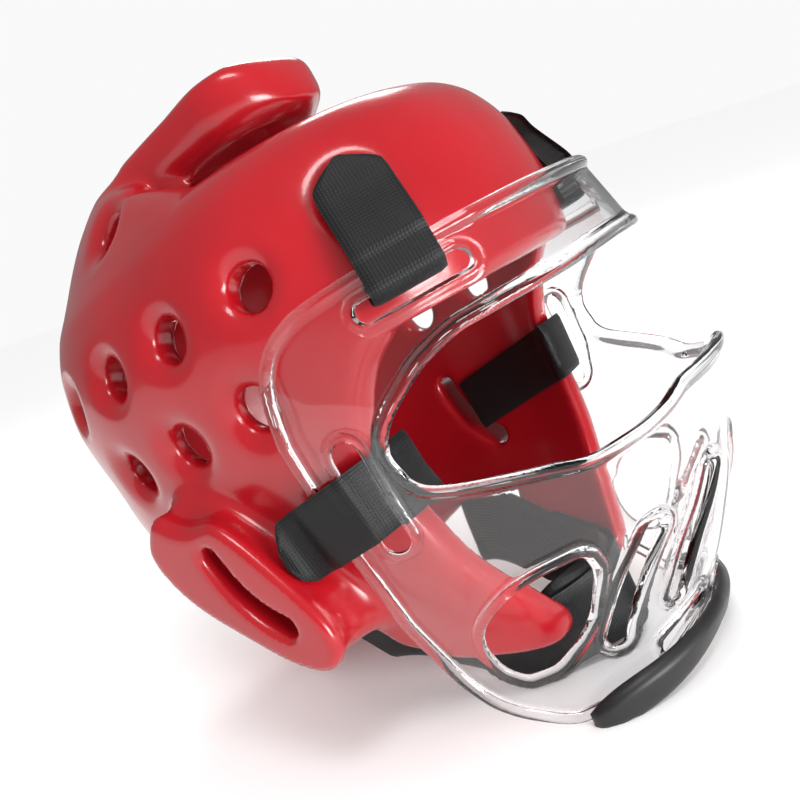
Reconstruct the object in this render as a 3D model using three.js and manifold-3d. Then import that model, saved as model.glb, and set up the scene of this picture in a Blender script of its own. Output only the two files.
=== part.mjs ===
// Padded sparring headgear with a clear face shield, in millimetres, +Z up, the wearer facing -Y.
// Inside the tilted group the helmet stands level: x is the wearer's left, "forward" is -y from the
// head axis, and "level" is the height above the eye line.
import * as THREE from "three";
import { mergeVertices } from "three/addons/utils/BufferGeometryUtils.js";
import Module from "manifold-3d";

const wasm = await Module();
wasm.setup();

// Clearance between pieces that touch on the real thing, and facets round or along each form
const clearance = 0.35;
const shellSegments = 44;
const hollowSegments = 32;
const earSegments = 22;
const ventSegments = 8;
const padArcSteps = 12;
const strapSteps = 28;
const chinStrapSteps = 36;
const chinPadSteps = 18;

// Head shell: reaches from the head axis, heights from the eye line
const shellFront = 117;
const shellBack = 124;
const shellSide = 95;
const crownHeight = 168;
const jawDepth = 95;
const shellSquareness = 2.4;
const wall = 13.5;
const crownWall = 20;

// Openings of the shell
const browHeight = 46;
const cheekReach = 61;
const flapDepth = 90;
const notchDepth = 48;
const napeReach = 97;
const napeDepth = 75;
const ventRadius = 8.5;
const ventFlare = 13;
const ventFlareDepth = 5;
const ventPitch = 24.5;
const ventFirstAngle = 57.5;
const upperVentLevel = 84;
const lowerVentLevel = 46;
const crownVentAngle = 114;
const crownVentLevel = 139;
const strapVentLevel = 92;
const strapVentAngle = 32.5;
const templeSlotAngle = 34;

// Crown pad and the gap round it
const padHalfWidth = 33;
const padFront = 55;
const padRoot = -12;
const padTail = -60;
const padTop = 166;
const padGap = 14;
const padRoundness = 0.85;
const rimLevel = 128;

// Ear guards
const earReach = 108;
const earHalfWidth = 21;
const earHalfHeight = 46.5;
const earLevel = -8;
const earLean = 38;
const earSetBack = 5.3;
const earTaper = 0.14;
const earFlankBulge = 0.9;
const earSlotLength = 48;
const earSlotWidth = 10.5;
const earSlotBend = 4;
const earSlotAhead = 2.5;
const earSlotDrop = 4.5;
const earSlotTurn = 10;

// What the helmet rests on in front, under the face shield
const chinRestReach = 76;
const chinRestDepth = 117;
const chinRestDrop = 1;

// Face shield
const shieldFront = 150;
const shieldPlate = 3;
const shieldRim = 5;
const shieldSide = shellSide + shieldPlate / 2 + clearance;
const shieldTop = 70;
const shieldBottom = chinRestDepth - chinRestDrop;
const shieldEdgeAngle = 67.5;
const eyeEndAngle = 49;
const eyeTop = 37.5;
const eyeBottom = 18;
const jawHoleAngle = 39.3;
const jawHoleSpread = 12.3;
const jawHoleLevel = -70;
const jawHoleHeight = 37;
const mouthSlotWidth = 8.5;
const templeSlotLevel = 56.5;
const templeSlotLength = 32;
const templeSlotWidth = 7;
const jawSlotAngle = 56;
const jawSlotLevel = 1.5;
const jawSlotLength = 34;
const jawSlotWidth = 10.2;

// Webbing, chin strap, chin cup and chin pad
const strapWidth = 26.6;
const strapThickness = 1.5;
const jawStrapPitch = 9;
const jawStrapRun = 58;
const tongueHeight = 12;
const chinStrapWidth = 33;
const chinStrapThickness = 2.5;
const chinStrapAngle = 112;
const chinStrapLevel = -91;
const chinStrapEndLevel = -62;
const chinRiseAngle = 25;
const chinTurnAngle = 22;
const chinReach = 77;
const chinHalfWidth = 60;
const chinCupThickness = 8;
const chinCupAngle = 34;
const chinPadThickness = 5;
const chinPadAngle = 38;
const chinPadHeight = 15;

// Shares: how wide the chin cup is at its middle and how much narrower at its ends, how far the
// chin pad laps below and above the shield's rim
const chinCupWidth = 1.15;
const chinCupNarrowing = 0.55;
const chinPadBelow = 0.08;
const chinPadEndBelow = 0.3;
const chinPadAbove = 0.75;
const chinPadEndAbove = 0.45;

// Sections of the shell, from the jaw to the crown. Level is a share of jawDepth below the eye line
// and of crownHeight above it; front, back and side are shares of the shell's three reaches.
const shellSections = [
  { level: -1.0, front: 0.7, back: 0.68, side: 0.54 },
  { level: -0.63, front: 0.81, back: 0.81, side: 0.72 },
  { level: -0.32, front: 0.87, back: 0.9, side: 0.88 },
  { level: 0.0, front: 0.94, back: 0.97, side: 0.93 },
  { level: 0.24, front: 0.985, back: 1.0, side: 0.98 },
  { level: 0.42, front: 1.0, back: 1.0, side: 1.0 },
  { level: 0.57, front: 0.975, back: 0.97, side: 0.95 },
  { level: 0.665, front: 0.92, back: 0.92, side: 0.87 },
  { level: 0.73, front: 0.83, back: 0.87, side: 0.77 },
  { level: 0.765, front: 0.74, back: 0.85, side: 0.71 },
  { level: 0.835, front: 0.57, back: 0.79, side: 0.6 },
  { level: 0.905, front: 0.465, back: 0.695, side: 0.485 },
  { level: 0.96, front: 0.38, back: 0.58, side: 0.36 },
  { level: 0.99, front: 0.23, back: 0.4, side: 0.2 },
];

// Sections of the shield, from its bottom rim to its top rim. Level is a share of shieldBottom below
// the eye line and of shieldTop above it; front and side are shares of the shield's reaches.
const shieldSections = [
  { level: -1.02, front: 0.635, side: 0.712, squareness: 2.4 },
  { level: -0.965, front: 0.66, side: 0.723, squareness: 2.35 },
  { level: -0.835, front: 0.727, side: 0.754, squareness: 2.0 },
  { level: -0.733, front: 0.787, side: 0.774, squareness: 1.8 },
  { level: -0.603, front: 0.853, side: 0.805, squareness: 1.75 },
  { level: -0.448, front: 0.92, side: 0.857, squareness: 1.8 },
  { level: -0.26, front: 0.97, side: 0.898, squareness: 2.0 },
  { level: -0.103, front: 1.0, side: 0.934, squareness: 2.25 },
  { level: 0.0, front: 0.987, side: 0.96, squareness: 2.4 },
  { level: 0.57, front: 0.927, side: 0.994, squareness: 2.3 },
  { level: 1.0, front: 0.88, side: 0.994, squareness: 2.2 },
];

// Outline of the shield: top and bottom rim heights, as shares of shieldTop and shieldBottom, at
// shares of the angle of its rear edge.
const shieldOutline = [
  { angle: 0.0, top: 1.0, bottom: 0.965 },
  { angle: 0.35, top: 1.0, bottom: 0.99 },
  { angle: 0.58, top: 1.0, bottom: 0.985 },
  { angle: 0.75, top: 0.985, bottom: 0.91 },
  { angle: 0.86, top: 0.92, bottom: 0.83 },
  { angle: 0.92, top: 0.83, bottom: 0.75 },
  { angle: 0.965, top: 0.69, bottom: 0.64 },
  { angle: 1.0, top: 0.43, bottom: 0.42 },
];

// Eye opening: edge heights as shares of eyeTop and eyeBottom, at shares of its end's angle.
const eyeOutline = [
  { angle: 0.0, top: 1.0, bottom: 0.63 },
  { angle: 0.18, top: 0.99, bottom: 0.64 },
  { angle: 0.28, top: 0.98, bottom: 0.87 },
  { angle: 0.38, top: 0.98, bottom: 0.98 },
  { angle: 0.48, top: 0.985, bottom: 1.0 },
  { angle: 0.62, top: 0.985, bottom: 0.75 },
  { angle: 0.76, top: 0.9, bottom: 0.49 },
  { angle: 0.87, top: 0.74, bottom: 0.27 },
  { angle: 0.95, top: 0.58, bottom: 0.05 },
  { angle: 0.985, top: 0.46, bottom: -0.19 },
  { angle: 1.0, top: 0.35, bottom: -0.6 },
];

// Jaw opening: edge heights as shares of its height from its middle, across its spread, front to back.
const jawHoleOutline = [
  { across: -1.0, top: 0.3, bottom: 0.2 },
  { across: -0.93, top: 0.44, bottom: 0.03 },
  { across: -0.8, top: 0.5, bottom: -0.16 },
  { across: -0.4, top: 0.5, bottom: -0.38 },
  { across: 0.1, top: 0.46, bottom: -0.5 },
  { across: 0.5, top: 0.36, bottom: -0.49 },
  { across: 0.8, top: 0.24, bottom: -0.37 },
  { across: 0.95, top: 0.12, bottom: -0.22 },
  { across: 1.0, top: 0.02, bottom: -0.08 },
];

// Slanted breathing slots over the mouth: ends as angle shares of the jaw opening's angle and
// heights as shares of shieldBottom below the eye line.
const mouthSlots = [
  { fromAngle: 0.66, fromLevel: -0.76, toAngle: 0.43, toLevel: -0.49, width: 1.0 },
  { fromAngle: 0.33, fromLevel: -0.74, toAngle: 0.15, toLevel: -0.42, width: 0.8 },
  { fromAngle: 0.42, fromLevel: -0.895, toAngle: 0.14, toLevel: -0.845, width: 0.75 },
];

// Flanks of an ear guard, from inside the wall over its neck out to its flat face.
const earSections = [
  { reach: 0.72, width: 0.98, height: 1.02 },
  { reach: 0.82, width: 0.92, height: 0.98 },
  { reach: 0.89, width: 0.9, height: 0.96 },
  { reach: 0.93, width: 0.95, height: 0.98 },
  { reach: 0.965, width: 1.0, height: 1.0 },
  { reach: 0.99, width: 0.98, height: 0.99 },
  { reach: 1.0, width: 0.93, height: 0.97 },
];

// Length of the crown pad, tail to front: width as a share of padHalfWidth, top as a share of padTop.
const padSections = [
  { along: 0.0, width: 0.55, top: 0.92 },
  { along: 0.15, width: 0.8, top: 0.965 },
  { along: 0.35, width: 0.97, top: 0.99 },
  { along: 0.6, width: 1.0, top: 0.995 },
  { along: 0.78, width: 0.97, top: 1.0 },
  { along: 0.88, width: 0.86, top: 1.0 },
  { along: 0.95, width: 0.68, top: 0.985 },
  { along: 0.985, width: 0.47, top: 0.96 },
  { along: 1.0, width: 0.25, top: 0.92 },
];

const radians = THREE.MathUtils.degToRad;
const up = new THREE.Vector3(0, 0, 1);
const sides = { right: -1, left: 1 };

const colours = {
  shell: new THREE.MeshStandardMaterial({ color: 0xb4202c, roughness: 0.25, metalness: 0 }),
  shield: new THREE.MeshStandardMaterial({
    color: 0xe8eef0,
    roughness: 0.05,
    metalness: 0,
    transparent: true,
    opacity: 0.35,
  }),
  webbing: new THREE.MeshStandardMaterial({ color: 0x1b1d22, roughness: 0.7, metalness: 0 }),
  cup: new THREE.MeshStandardMaterial({ color: 0x17181a, roughness: 0.55, metalness: 0 }),
  rubber: new THREE.MeshStandardMaterial({ color: 0x222326, roughness: 0.45, metalness: 0 }),
};

// A smooth curve through the rows of a table that never swings past them.
function curveThrough(rows, key, value) {
  const count = rows.length;
  const steps = rows.slice(1).map((row, i) => row[key] - rows[i][key]);
  const slopes = rows.slice(1).map((row, i) => (row[value] - rows[i][value]) / steps[i]);
  const tangents = rows.map((row, i) => {
    if (i === 0) return slopes[0];
    if (i === count - 1) return slopes[count - 2];
    if (slopes[i - 1] * slopes[i] <= 0) return 0;
    return (2 * slopes[i - 1] * slopes[i]) / (slopes[i - 1] + slopes[i]);
  });
  return (x) => {
    const place = THREE.MathUtils.clamp(x, rows[0][key], rows[count - 1][key]);
    let i = 0;
    while (i < count - 2 && place > rows[i + 1][key]) i += 1;
    const t = (place - rows[i][key]) / steps[i];
    const rise = steps[i] * t * (1 - t) * ((1 - t) * tangents[i] - t * tangents[i + 1]);
    return THREE.MathUtils.lerp(rows[i][value], rows[i + 1][value], t * t * (3 - 2 * t)) + rise;
  };
}

// A closed solid from points and triangles, turned so that its faces point out.
function solidOf(points, triangles) {
  let volume = 0;
  for (const [a, b, c] of triangles) {
    volume += points[a].dot(new THREE.Vector3().crossVectors(points[b], points[c]));
  }
  const facing = volume < 0 ? triangles.map(([a, b, c]) => [a, c, b]) : triangles;
  return new wasm.Manifold(
    new wasm.Mesh({
      numProp: 3,
      vertProperties: new Float32Array(points.flatMap((point) => point.toArray())),
      triVerts: new Uint32Array(facing.flat()),
    }),
  );
}

// A solid from a closed three.js geometry, placed by a matrix.
function solidFrom(geometry, matrix = new THREE.Matrix4()) {
  const plain = geometry.clone().applyMatrix4(matrix);
  plain.deleteAttribute("normal");
  plain.deleteAttribute("uv");
  const merged = mergeVertices(plain, 1e-4);
  const place = merged.getAttribute("position");
  const points = Array.from({ length: place.count }, (_, i) =>
    new THREE.Vector3().fromBufferAttribute(place, i),
  );
  const triangles = [];
  for (let i = 0; i < merged.index.count; i += 3) {
    const corners = [0, 1, 2].map((k) => merged.index.getX(i + k));
    if (new Set(corners).size === 3) triangles.push(corners);
  }
  return solidOf(points, triangles);
}

// Rings of equally many points joined into a closed body with a fan across each end.
function loft(rings) {
  const size = rings[0].length;
  const points = rings.flat();
  const triangles = [];
  for (let i = 0; i < rings.length - 1; i += 1) {
    for (let j = 0; j < size; j += 1) {
      const next = (j + 1) % size;
      const [a, b, c, d] = [i * size + j, i * size + next, (i + 1) * size + next, (i + 1) * size + j];
      triangles.push([a, b, c], [a, c, d]);
    }
  }
  for (const [start, turned] of [[0, true], [(rings.length - 1) * size, false]]) {
    const middle = points.length;
    const ring = points.slice(start, start + size);
    points.push(ring.reduce((sum, point) => sum.add(point), new THREE.Vector3()).divideScalar(size));
    for (let j = 0; j < size; j += 1) {
      const [a, b] = [start + j, start + ((j + 1) % size)];
      triangles.push(turned ? [b, a, middle] : [a, b, middle]);
    }
  }
  return solidOf(points, triangles);
}

// A sheet of cells between an outer and an inner grid of points.
function slab(outer, inner) {
  const rows = outer.length;
  const columns = outer[0].length;
  const half = rows * columns;
  const points = [...outer.flat(), ...inner.flat()];
  const triangles = [];
  for (let i = 0; i < rows - 1; i += 1) {
    for (let j = 0; j < columns - 1; j += 1) {
      const [a, b, c, d] = [i * columns + j, i * columns + j + 1, (i + 1) * columns + j + 1, (i + 1) * columns + j];
      triangles.push([a, b, c], [a, c, d]);
      triangles.push([half + a, half + c, half + b], [half + a, half + d, half + c]);
    }
  }
  const border = [];
  for (let j = 0; j < columns - 1; j += 1) border.push(j);
  for (let i = 0; i < rows - 1; i += 1) border.push(i * columns + columns - 1);
  for (let j = columns - 1; j > 0; j -= 1) border.push((rows - 1) * columns + j);
  for (let i = rows - 1; i > 0; i -= 1) border.push(i * columns);
  border.forEach((a, i) => {
    const b = border[(i + 1) % border.length];
    triangles.push([b, a, half + a], [b, half + a, half + b]);
  });
  return solidOf(points, triangles);
}

function join(solids) {
  return solids.reduce((whole, solid) => whole.add(solid));
}

function cut(solid, cutters) {
  return cutters.reduce((rest, cutter) => rest.subtract(cutter), solid);
}

// An outline in the plane of forward reach and level, extruded across the whole head.
function prismAcross(outline, halfLength) {
  const shape = new THREE.Shape(outline.map(([forward, level]) => new THREE.Vector2(forward, level)));
  const geometry = new THREE.ExtrudeGeometry(shape, { depth: 2 * halfLength, bevelEnabled: false });
  const basis = new THREE.Matrix4().makeBasis(
    new THREE.Vector3(0, -1, 0),
    new THREE.Vector3(0, 0, 1),
    new THREE.Vector3(-1, 0, 0),
  );
  return solidFrom(geometry, basis.setPosition(halfLength, 0, 0));
}

// Radius of an oval with squared shoulders, at an angle in degrees from straight ahead.
function ovalRadius(angle, front, side, squareness) {
  const ahead = Math.abs(Math.cos(radians(angle)));
  const aside = Math.abs(Math.sin(radians(angle)));
  return ((ahead / front) ** squareness + (aside / side) ** squareness) ** (-1 / squareness);
}

const shellRows = shellSections.map((row) => ({
  level: row.level * (row.level < 0 ? jawDepth : crownHeight),
  front: row.front * shellFront,
  back: row.back * shellBack,
  side: row.side * shellSide,
}));
const shellFrontAt = curveThrough(shellRows, "level", "front");
const shellBackAt = curveThrough(shellRows, "level", "back");
const shellSideAt = curveThrough(shellRows, "level", "side");

function shellRadius(angle, level) {
  const reach = Math.cos(radians(angle)) > 0 ? shellFrontAt(level) : shellBackAt(level);
  return ovalRadius(angle, reach, shellSideAt(level), shellSquareness);
}

function hollowRadius(angle, level) {
  const outside = level > 0 ? (level * crownHeight) / (crownHeight - crownWall) : level;
  return Math.max(shellRadius(angle, outside) - wall, 1);
}

const shieldRows = shieldSections.map((row) => ({
  level: row.level * (row.level < 0 ? shieldBottom : shieldTop),
  front: row.front * shieldFront,
  side: row.side * shieldSide,
  squareness: row.squareness,
}));
const shieldFrontAt = curveThrough(shieldRows, "level", "front");
const shieldSideAt = curveThrough(shieldRows, "level", "side");
const shieldSquarenessAt = curveThrough(shieldRows, "level", "squareness");

function shieldRadius(angle, level) {
  return ovalRadius(angle, shieldFrontAt(level), shieldSideAt(level), shieldSquarenessAt(level));
}

function pointAt(radius, angle, level) {
  const turn = radians(angle);
  return new THREE.Vector3(radius * Math.sin(turn), -radius * Math.cos(turn), level);
}

// The outward normal of a surface given by its radius at each angle and level.
function normalOf(radiusAt, angle, level) {
  const step = 0.5;
  const aside = pointAt(radiusAt(angle + step, level), angle + step, level)
    .sub(pointAt(radiusAt(angle - step, level), angle - step, level));
  const above = pointAt(radiusAt(angle, level + step), angle, level + step)
    .sub(pointAt(radiusAt(angle, level - step), angle, level - step));
  return aside.cross(above).normalize();
}

// A point on such a surface, moved off it by a distance along the normal.
function surfacePoint(radiusAt, angle, level, offset = 0) {
  const point = pointAt(radiusAt(angle, level), angle, level);
  return offset === 0 ? point : point.addScaledVector(normalOf(radiusAt, angle, level), offset);
}

function evenSteps(from, to, count) {
  return Array.from({ length: count + 1 }, (_, i) => from + ((to - from) * i) / count);
}

// A body whose level rings follow a radius function.
function levelLoft(radiusAt, levels, segments) {
  return loft(
    levels.map((level) =>
      Array.from({ length: segments }, (_, i) => {
        const angle = (360 * (i + 0.5)) / segments;
        return pointAt(radiusAt(angle, level), angle, level);
      }),
    ),
  );
}

function shellBody() {
  const band = shellRows.filter((row) => row.level > -0.4 * jawDepth && row.level < 0.6 * crownHeight);
  const between = band.slice(1).map((row, i) => (row.level + band[i].level) / 2);
  const levels = [...shellRows.map((row) => row.level), ...between].sort((a, b) => a - b);
  return levelLoft(shellRadius, levels, shellSegments);
}

function shellHollow() {
  const ceiling = shellRows[shellRows.length - 1].level - crownWall;
  const levels = [-2 * jawDepth, ...evenSteps(-jawDepth, 0, 6), ...evenSteps(0.35 * ceiling, ceiling, 4)];
  return levelLoft(hollowRadius, levels, hollowSegments);
}

// Everything in front of the face and below the rims, seen from the side: nape, ear notch, cheek
// flap, brow. The nape's rim lies in the plane that the helmet rests on.
function faceAndNeckCut() {
  const far = 2 * shellFront;
  const outline = [
    [-far, restLevel(-far)],
    [-napeReach + wall, restLevel(-napeReach + wall)],
    [-0.3 * shellBack, -0.5 * (napeDepth + notchDepth) + 0.05 * flapDepth],
    [0.08 * cheekReach, -notchDepth],
    [0.19 * cheekReach, -0.72 * flapDepth],
    [0.54 * cheekReach, -0.9 * flapDepth],
    [0.9 * cheekReach, -flapDepth],
    [1.05 * cheekReach, -0.99 * flapDepth],
    [1.1 * cheekReach, -0.9 * flapDepth],
    [1.09 * cheekReach, -0.78 * flapDepth],
    [1.04 * cheekReach, -0.48 * flapDepth],
    [1.02 * cheekReach, -0.19 * flapDepth],
    [cheekReach, 0.1 * browHeight],
    [1.02 * cheekReach, 0.41 * browHeight],
    [1.2 * cheekReach, 0.81 * browHeight],
    [1.4 * cheekReach, 1.03 * browHeight],
    [far, 0.97 * browHeight],
    [far, -far],
    [-far, -far],
  ];
  return prismAcross(outline, far);
}

// The line, seen from the side, that the helmet rests on: from the nape's rim to the chin pad.
function restLevel(forward) {
  const share = (forward + napeReach) / (napeReach + chinRestReach);
  return -THREE.MathUtils.lerp(napeDepth, chinRestDepth, share);
}

// One vent: a round hole with a flared mouth, square to the surface at its place.
function ventCutter(angle, level, radius, flare) {
  const outside = wall;
  const inside = 2.2 * wall;
  const profile = [
    [0, -inside],
    [radius, -inside],
    [radius, -ventFlareDepth],
    [flare, 0],
    [flare + 0.2 * ventFlareDepth, outside],
    [0, outside],
  ].map(([x, y]) => new THREE.Vector2(x, y));
  const out = normalOf(shellRadius, angle, level);
  const turn = new THREE.Quaternion().setFromUnitVectors(new THREE.Vector3(0, 1, 0), out);
  const place = surfacePoint(shellRadius, angle, level);
  const matrix = new THREE.Matrix4().compose(place, turn, new THREE.Vector3(1, 1, 1));
  return solidFrom(new THREE.LatheGeometry(profile, ventSegments), matrix);
}

// Two staggered rows of vents round each side, the crown vents and the vents of the temple straps.
function ventCutters() {
  const upper = [0, 1, 2, 3, 4].map((i) => [ventFirstAngle + i * ventPitch, upperVentLevel]);
  const lower = [0, 1, 2, 3, 4].map((i) => [ventFirstAngle + (i + 0.5) * ventPitch, lowerVentLevel]);
  const places = [...upper, ...lower, [crownVentAngle, crownVentLevel], [strapVentAngle, strapVentLevel]];
  const paired = Object.values(sides).flatMap((side) =>
    places.map(([angle, level]) => ventCutter(side * angle, level, ventRadius, ventFlare)),
  );
  return [...paired, ventCutter(180, upperVentLevel, ventRadius, ventFlare)];
}

// Plan outline round the crown pad at a distance from it, open-ended towards the tail.
function padOutline(distance, tail) {
  const halfWidth = padHalfWidth + distance;
  const front = padFront + distance;
  const turn = evenSteps(180, 0, padArcSteps).map(radians);
  const round = padRoundness * halfWidth;
  const arc = turn.map((a) => [halfWidth * Math.cos(a), front - round + round * Math.sin(a)]);
  return [[-halfWidth, tail], ...arc, [halfWidth, tail]];
}

// The gap that parts the crown pad from the rim: a horseshoe right through the shell.
function crownGapCutter() {
  const outer = padOutline(padGap, padRoot);
  const inner = padOutline(0, padRoot).reverse();
  const shape = new THREE.Shape([...outer, ...inner].map(([x, forward]) => new THREE.Vector2(x, -forward)));
  const geometry = new THREE.ExtrudeGeometry(shape, { depth: crownHeight, bevelEnabled: false });
  return solidFrom(geometry, new THREE.Matrix4().makeTranslation(0, 0, 0.6 * crownHeight));
}

// The slope that brings the crown down to the front rim on both sides of the pad.
function crownSlopeCutter() {
  const far = 2 * crownHeight;
  const outline = [
    [padTail, 1.03 * crownHeight],
    [padRoot - 0.3 * padGap, 0.9 * crownHeight],
    [0.55 * padFront, rimLevel],
    [far, rimLevel],
    [far, far],
    [padTail, far],
  ];
  return prismAcross(outline, far);
}

// The crown pad: a thick tongue with a crowned top and rounded shoulders.
function crownPad() {
  const widthAt = curveThrough(padSections, "along", "width");
  const topAt = curveThrough(padSections, "along", "top");
  const base = 0.7 * crownHeight;
  const shoulders = [[-1, 0], [-1, 0.72], [-0.93, 0.88], [-0.78, 0.95], [-0.4, 0.99]];
  const profile = [...shoulders, [0, 1], ...shoulders.map(([x, y]) => [-x, y]).reverse()];
  const stations = [0, 0.08, 0.15, 0.25, 0.35, 0.5, 0.65, 0.78, 0.84, 0.88, 0.92, 0.95, 0.975, 0.99, 1];
  return loft(
    stations.map((along) =>
      profile.map(([x, y]) => {
        const forward = THREE.MathUtils.lerp(padTail, padFront, along);
        const level = THREE.MathUtils.lerp(base, topAt(along) * padTop, y);
        return new THREE.Vector3(x * padHalfWidth * widthAt(along), -forward, level);
      }),
    ),
  );
}

// An ear guard's matrix: leaning back from its own upright frame, x out from the head.
function earFrame(side) {
  const lean = new THREE.Matrix4().makeRotationX(radians(-earLean));
  const flip = new THREE.Matrix4().makeScale(side, 1, 1);
  return new THREE.Matrix4().makeTranslation(0, earSetBack, earLevel).multiply(lean).multiply(flip);
}

function earGuard(side) {
  const frame = earFrame(side);
  return loft(
    earSections.map((section) =>
      Array.from({ length: earSegments }, (_, i) => {
        const angle = (360 * i) / earSegments;
        const [halfHeight, halfWidth] = [section.height * earHalfHeight, section.width * earHalfWidth];
        const radius = ovalRadius(angle, halfHeight, halfWidth, shellSquareness);
        const [rise, aside] = [Math.cos(radians(angle)), Math.sin(radians(angle))];
        const spread = 1 + earTaper * rise;
        return new THREE.Vector3(section.reach * earReach, -radius * aside * spread, radius * rise)
          .applyMatrix4(frame);
      }),
    ),
  );
}

// The bent slot through an ear guard into the hollow.
function earSlotCutter(side) {
  const steps = evenSteps(-1, 1, 8);
  const lean = (Math.tan(radians(earSlotTurn)) * earSlotLength) / 2;
  const bend = (share) => -earSlotBend * (1 - share * share);
  const half = (share) => (earSlotWidth / 2) * Math.sqrt(1 - 0.85 * share ** 4);
  const edge = (sign) =>
    steps.map((share) => [
      earSlotAhead + lean * share + bend(share) + sign * half(share),
      (share * earSlotLength) / 2 - earSlotDrop,
    ]);
  const outline = [...edge(1), ...edge(-1).reverse()];
  const rings = [0.45 * earReach, 1.1 * earReach].map((reach) =>
    outline.map(([forward, rise]) => new THREE.Vector3(reach, -forward, rise).applyMatrix4(earFrame(side))),
  );
  return loft(rings);
}

function shell() {
  const crown = cut(shellBody(), [crownSlopeCutter(), crownGapCutter()]);
  const both = Object.values(sides);
  const whole = join([crown, crownPad(), ...both.map(earGuard)]);
  return cut(whole, [shellHollow(), faceAndNeckCut(), ...both.map(earSlotCutter), ...ventCutters()]);
}

// A window cut through the shield, column by column between two edge heights.
function windowCutter(columns) {
  const depth = 2.5 * shieldRim;
  const rows = evenSteps(0, 1, 2);
  const grid = (offset) =>
    columns.map(({ angle, top, bottom }) =>
      rows.map((share) => surfacePoint(shieldRadius, angle, THREE.MathUtils.lerp(bottom, top, share), offset)),
    );
  return slab(grid(depth), grid(-depth));
}

function eyeCutter() {
  const topAt = curveThrough(eyeOutline, "angle", "top");
  const bottomAt = curveThrough(eyeOutline, "angle", "bottom");
  const shares = [...evenSteps(0, 0.84, 9), 0.9, 0.95, 0.98, 1];
  const columns = [...shares.slice(1).reverse().map((share) => -share), ...shares];
  return windowCutter(
    columns.map((share) => ({
      angle: share * eyeEndAngle,
      top: topAt(Math.abs(share)) * eyeTop,
      bottom: -bottomAt(Math.abs(share)) * eyeBottom,
    })),
  );
}

function jawHoleCutter(side) {
  const topAt = curveThrough(jawHoleOutline, "across", "top");
  const bottomAt = curveThrough(jawHoleOutline, "across", "bottom");
  const shares = [-1, -0.95, -0.82, -0.6, -0.2, 0.2, 0.55, 0.8, 0.95, 1];
  return windowCutter(
    shares.map((share) => ({
      angle: side * (jawHoleAngle + share * jawHoleSpread),
      top: jawHoleLevel + topAt(share) * jawHoleHeight,
      bottom: jawHoleLevel + bottomAt(share) * jawHoleHeight,
    })),
  );
}

// A slot with round ends between two places on the shield.
function slotCutter(from, to, width) {
  const middle = (from.angle + to.angle) / 2;
  const perDegree = radians(1) * shieldRadius(middle, (from.level + to.level) / 2);
  const run = new THREE.Vector2((to.angle - from.angle) * perDegree, to.level - from.level);
  const length = run.length();
  const along = run.clone().divideScalar(length);
  const depth = 2.5 * shieldRim;
  const shares = [0, 0.03, 0.1, 0.25, 0.75, 0.9, 0.97, 1];
  const grid = (offset) =>
    shares.map((share) => {
      const fromEnd = Math.min(share, 1 - share) * length;
      const inset = Math.max(0, 1 - fromEnd / (0.5 * width));
      const half = 0.5 * width * Math.sqrt(1 - 0.9 * inset * inset);
      return [-1, 0, 1].map((sign) => {
        const aside = along.x * length * share - sign * half * along.y;
        const rise = along.y * length * share + sign * half * along.x;
        return surfacePoint(shieldRadius, from.angle + aside / perDegree, from.level + rise, offset);
      });
    });
  return slab(grid(depth), grid(-depth));
}

function mouthSlotCutters(side) {
  return mouthSlots.map((slot) =>
    slotCutter(
      { angle: side * slot.fromAngle * jawHoleAngle, level: slot.fromLevel * shieldBottom },
      { angle: side * slot.toAngle * jawHoleAngle, level: slot.toLevel * shieldBottom },
      slot.width * mouthSlotWidth,
    ),
  );
}

function templeSlotCutter(side) {
  const perDegree = radians(1) * shieldRadius(templeSlotAngle, templeSlotLevel);
  const half = templeSlotLength / 2 / perDegree;
  const ends = [templeSlotAngle - half, templeSlotAngle + half].map((angle) => ({
    angle: side * angle,
    level: templeSlotLevel,
  }));
  return slotCutter(ends[0], ends[1], templeSlotWidth);
}

function jawSlotCutter(side) {
  const angle = side * jawSlotAngle;
  const [low, high] = [jawSlotLevel - jawSlotLength / 2, jawSlotLevel + jawSlotLength / 2];
  return slotCutter({ angle, level: low }, { angle, level: high }, jawSlotWidth);
}

// The shield: a bowed plate, thicker along its outer rim.
function faceShield() {
  const topAt = curveThrough(shieldOutline, "angle", "top");
  const bottomAt = curveThrough(shieldOutline, "angle", "bottom");
  const halfColumns = [...evenSteps(0, 0.78, 6), 0.88, 0.95, 0.975, 1];
  const columns = [...halfColumns.slice(1).reverse().map((share) => -share), ...halfColumns];
  const rows = [0, 0.035, ...evenSteps(0.15, 0.85, 4), 0.965, 1];
  const rim = (share, row) => Math.abs(share) > 0.97 || row < 0.03 || row > 0.97;
  const grid = (sign) =>
    columns.map((share) =>
      rows.map((row) => {
        const reach = Math.abs(share);
        const level = THREE.MathUtils.lerp(-bottomAt(reach) * shieldBottom, topAt(reach) * shieldTop, row);
        const thickness = rim(share, row) ? shieldRim : shieldPlate;
        const offset = sign > 0 ? thickness - shieldPlate / 2 : -shieldPlate / 2;
        return surfacePoint(shieldRadius, share * shieldEdgeAngle, level, offset);
      }),
    );
  const both = Object.values(sides);
  return cut(slab(grid(1), grid(-1)), [
    eyeCutter(),
    ...both.map(jawHoleCutter),
    ...both.flatMap(mouthSlotCutters),
    ...both.map(templeSlotCutter),
    ...both.map(jawSlotCutter),
  ]);
}

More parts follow.
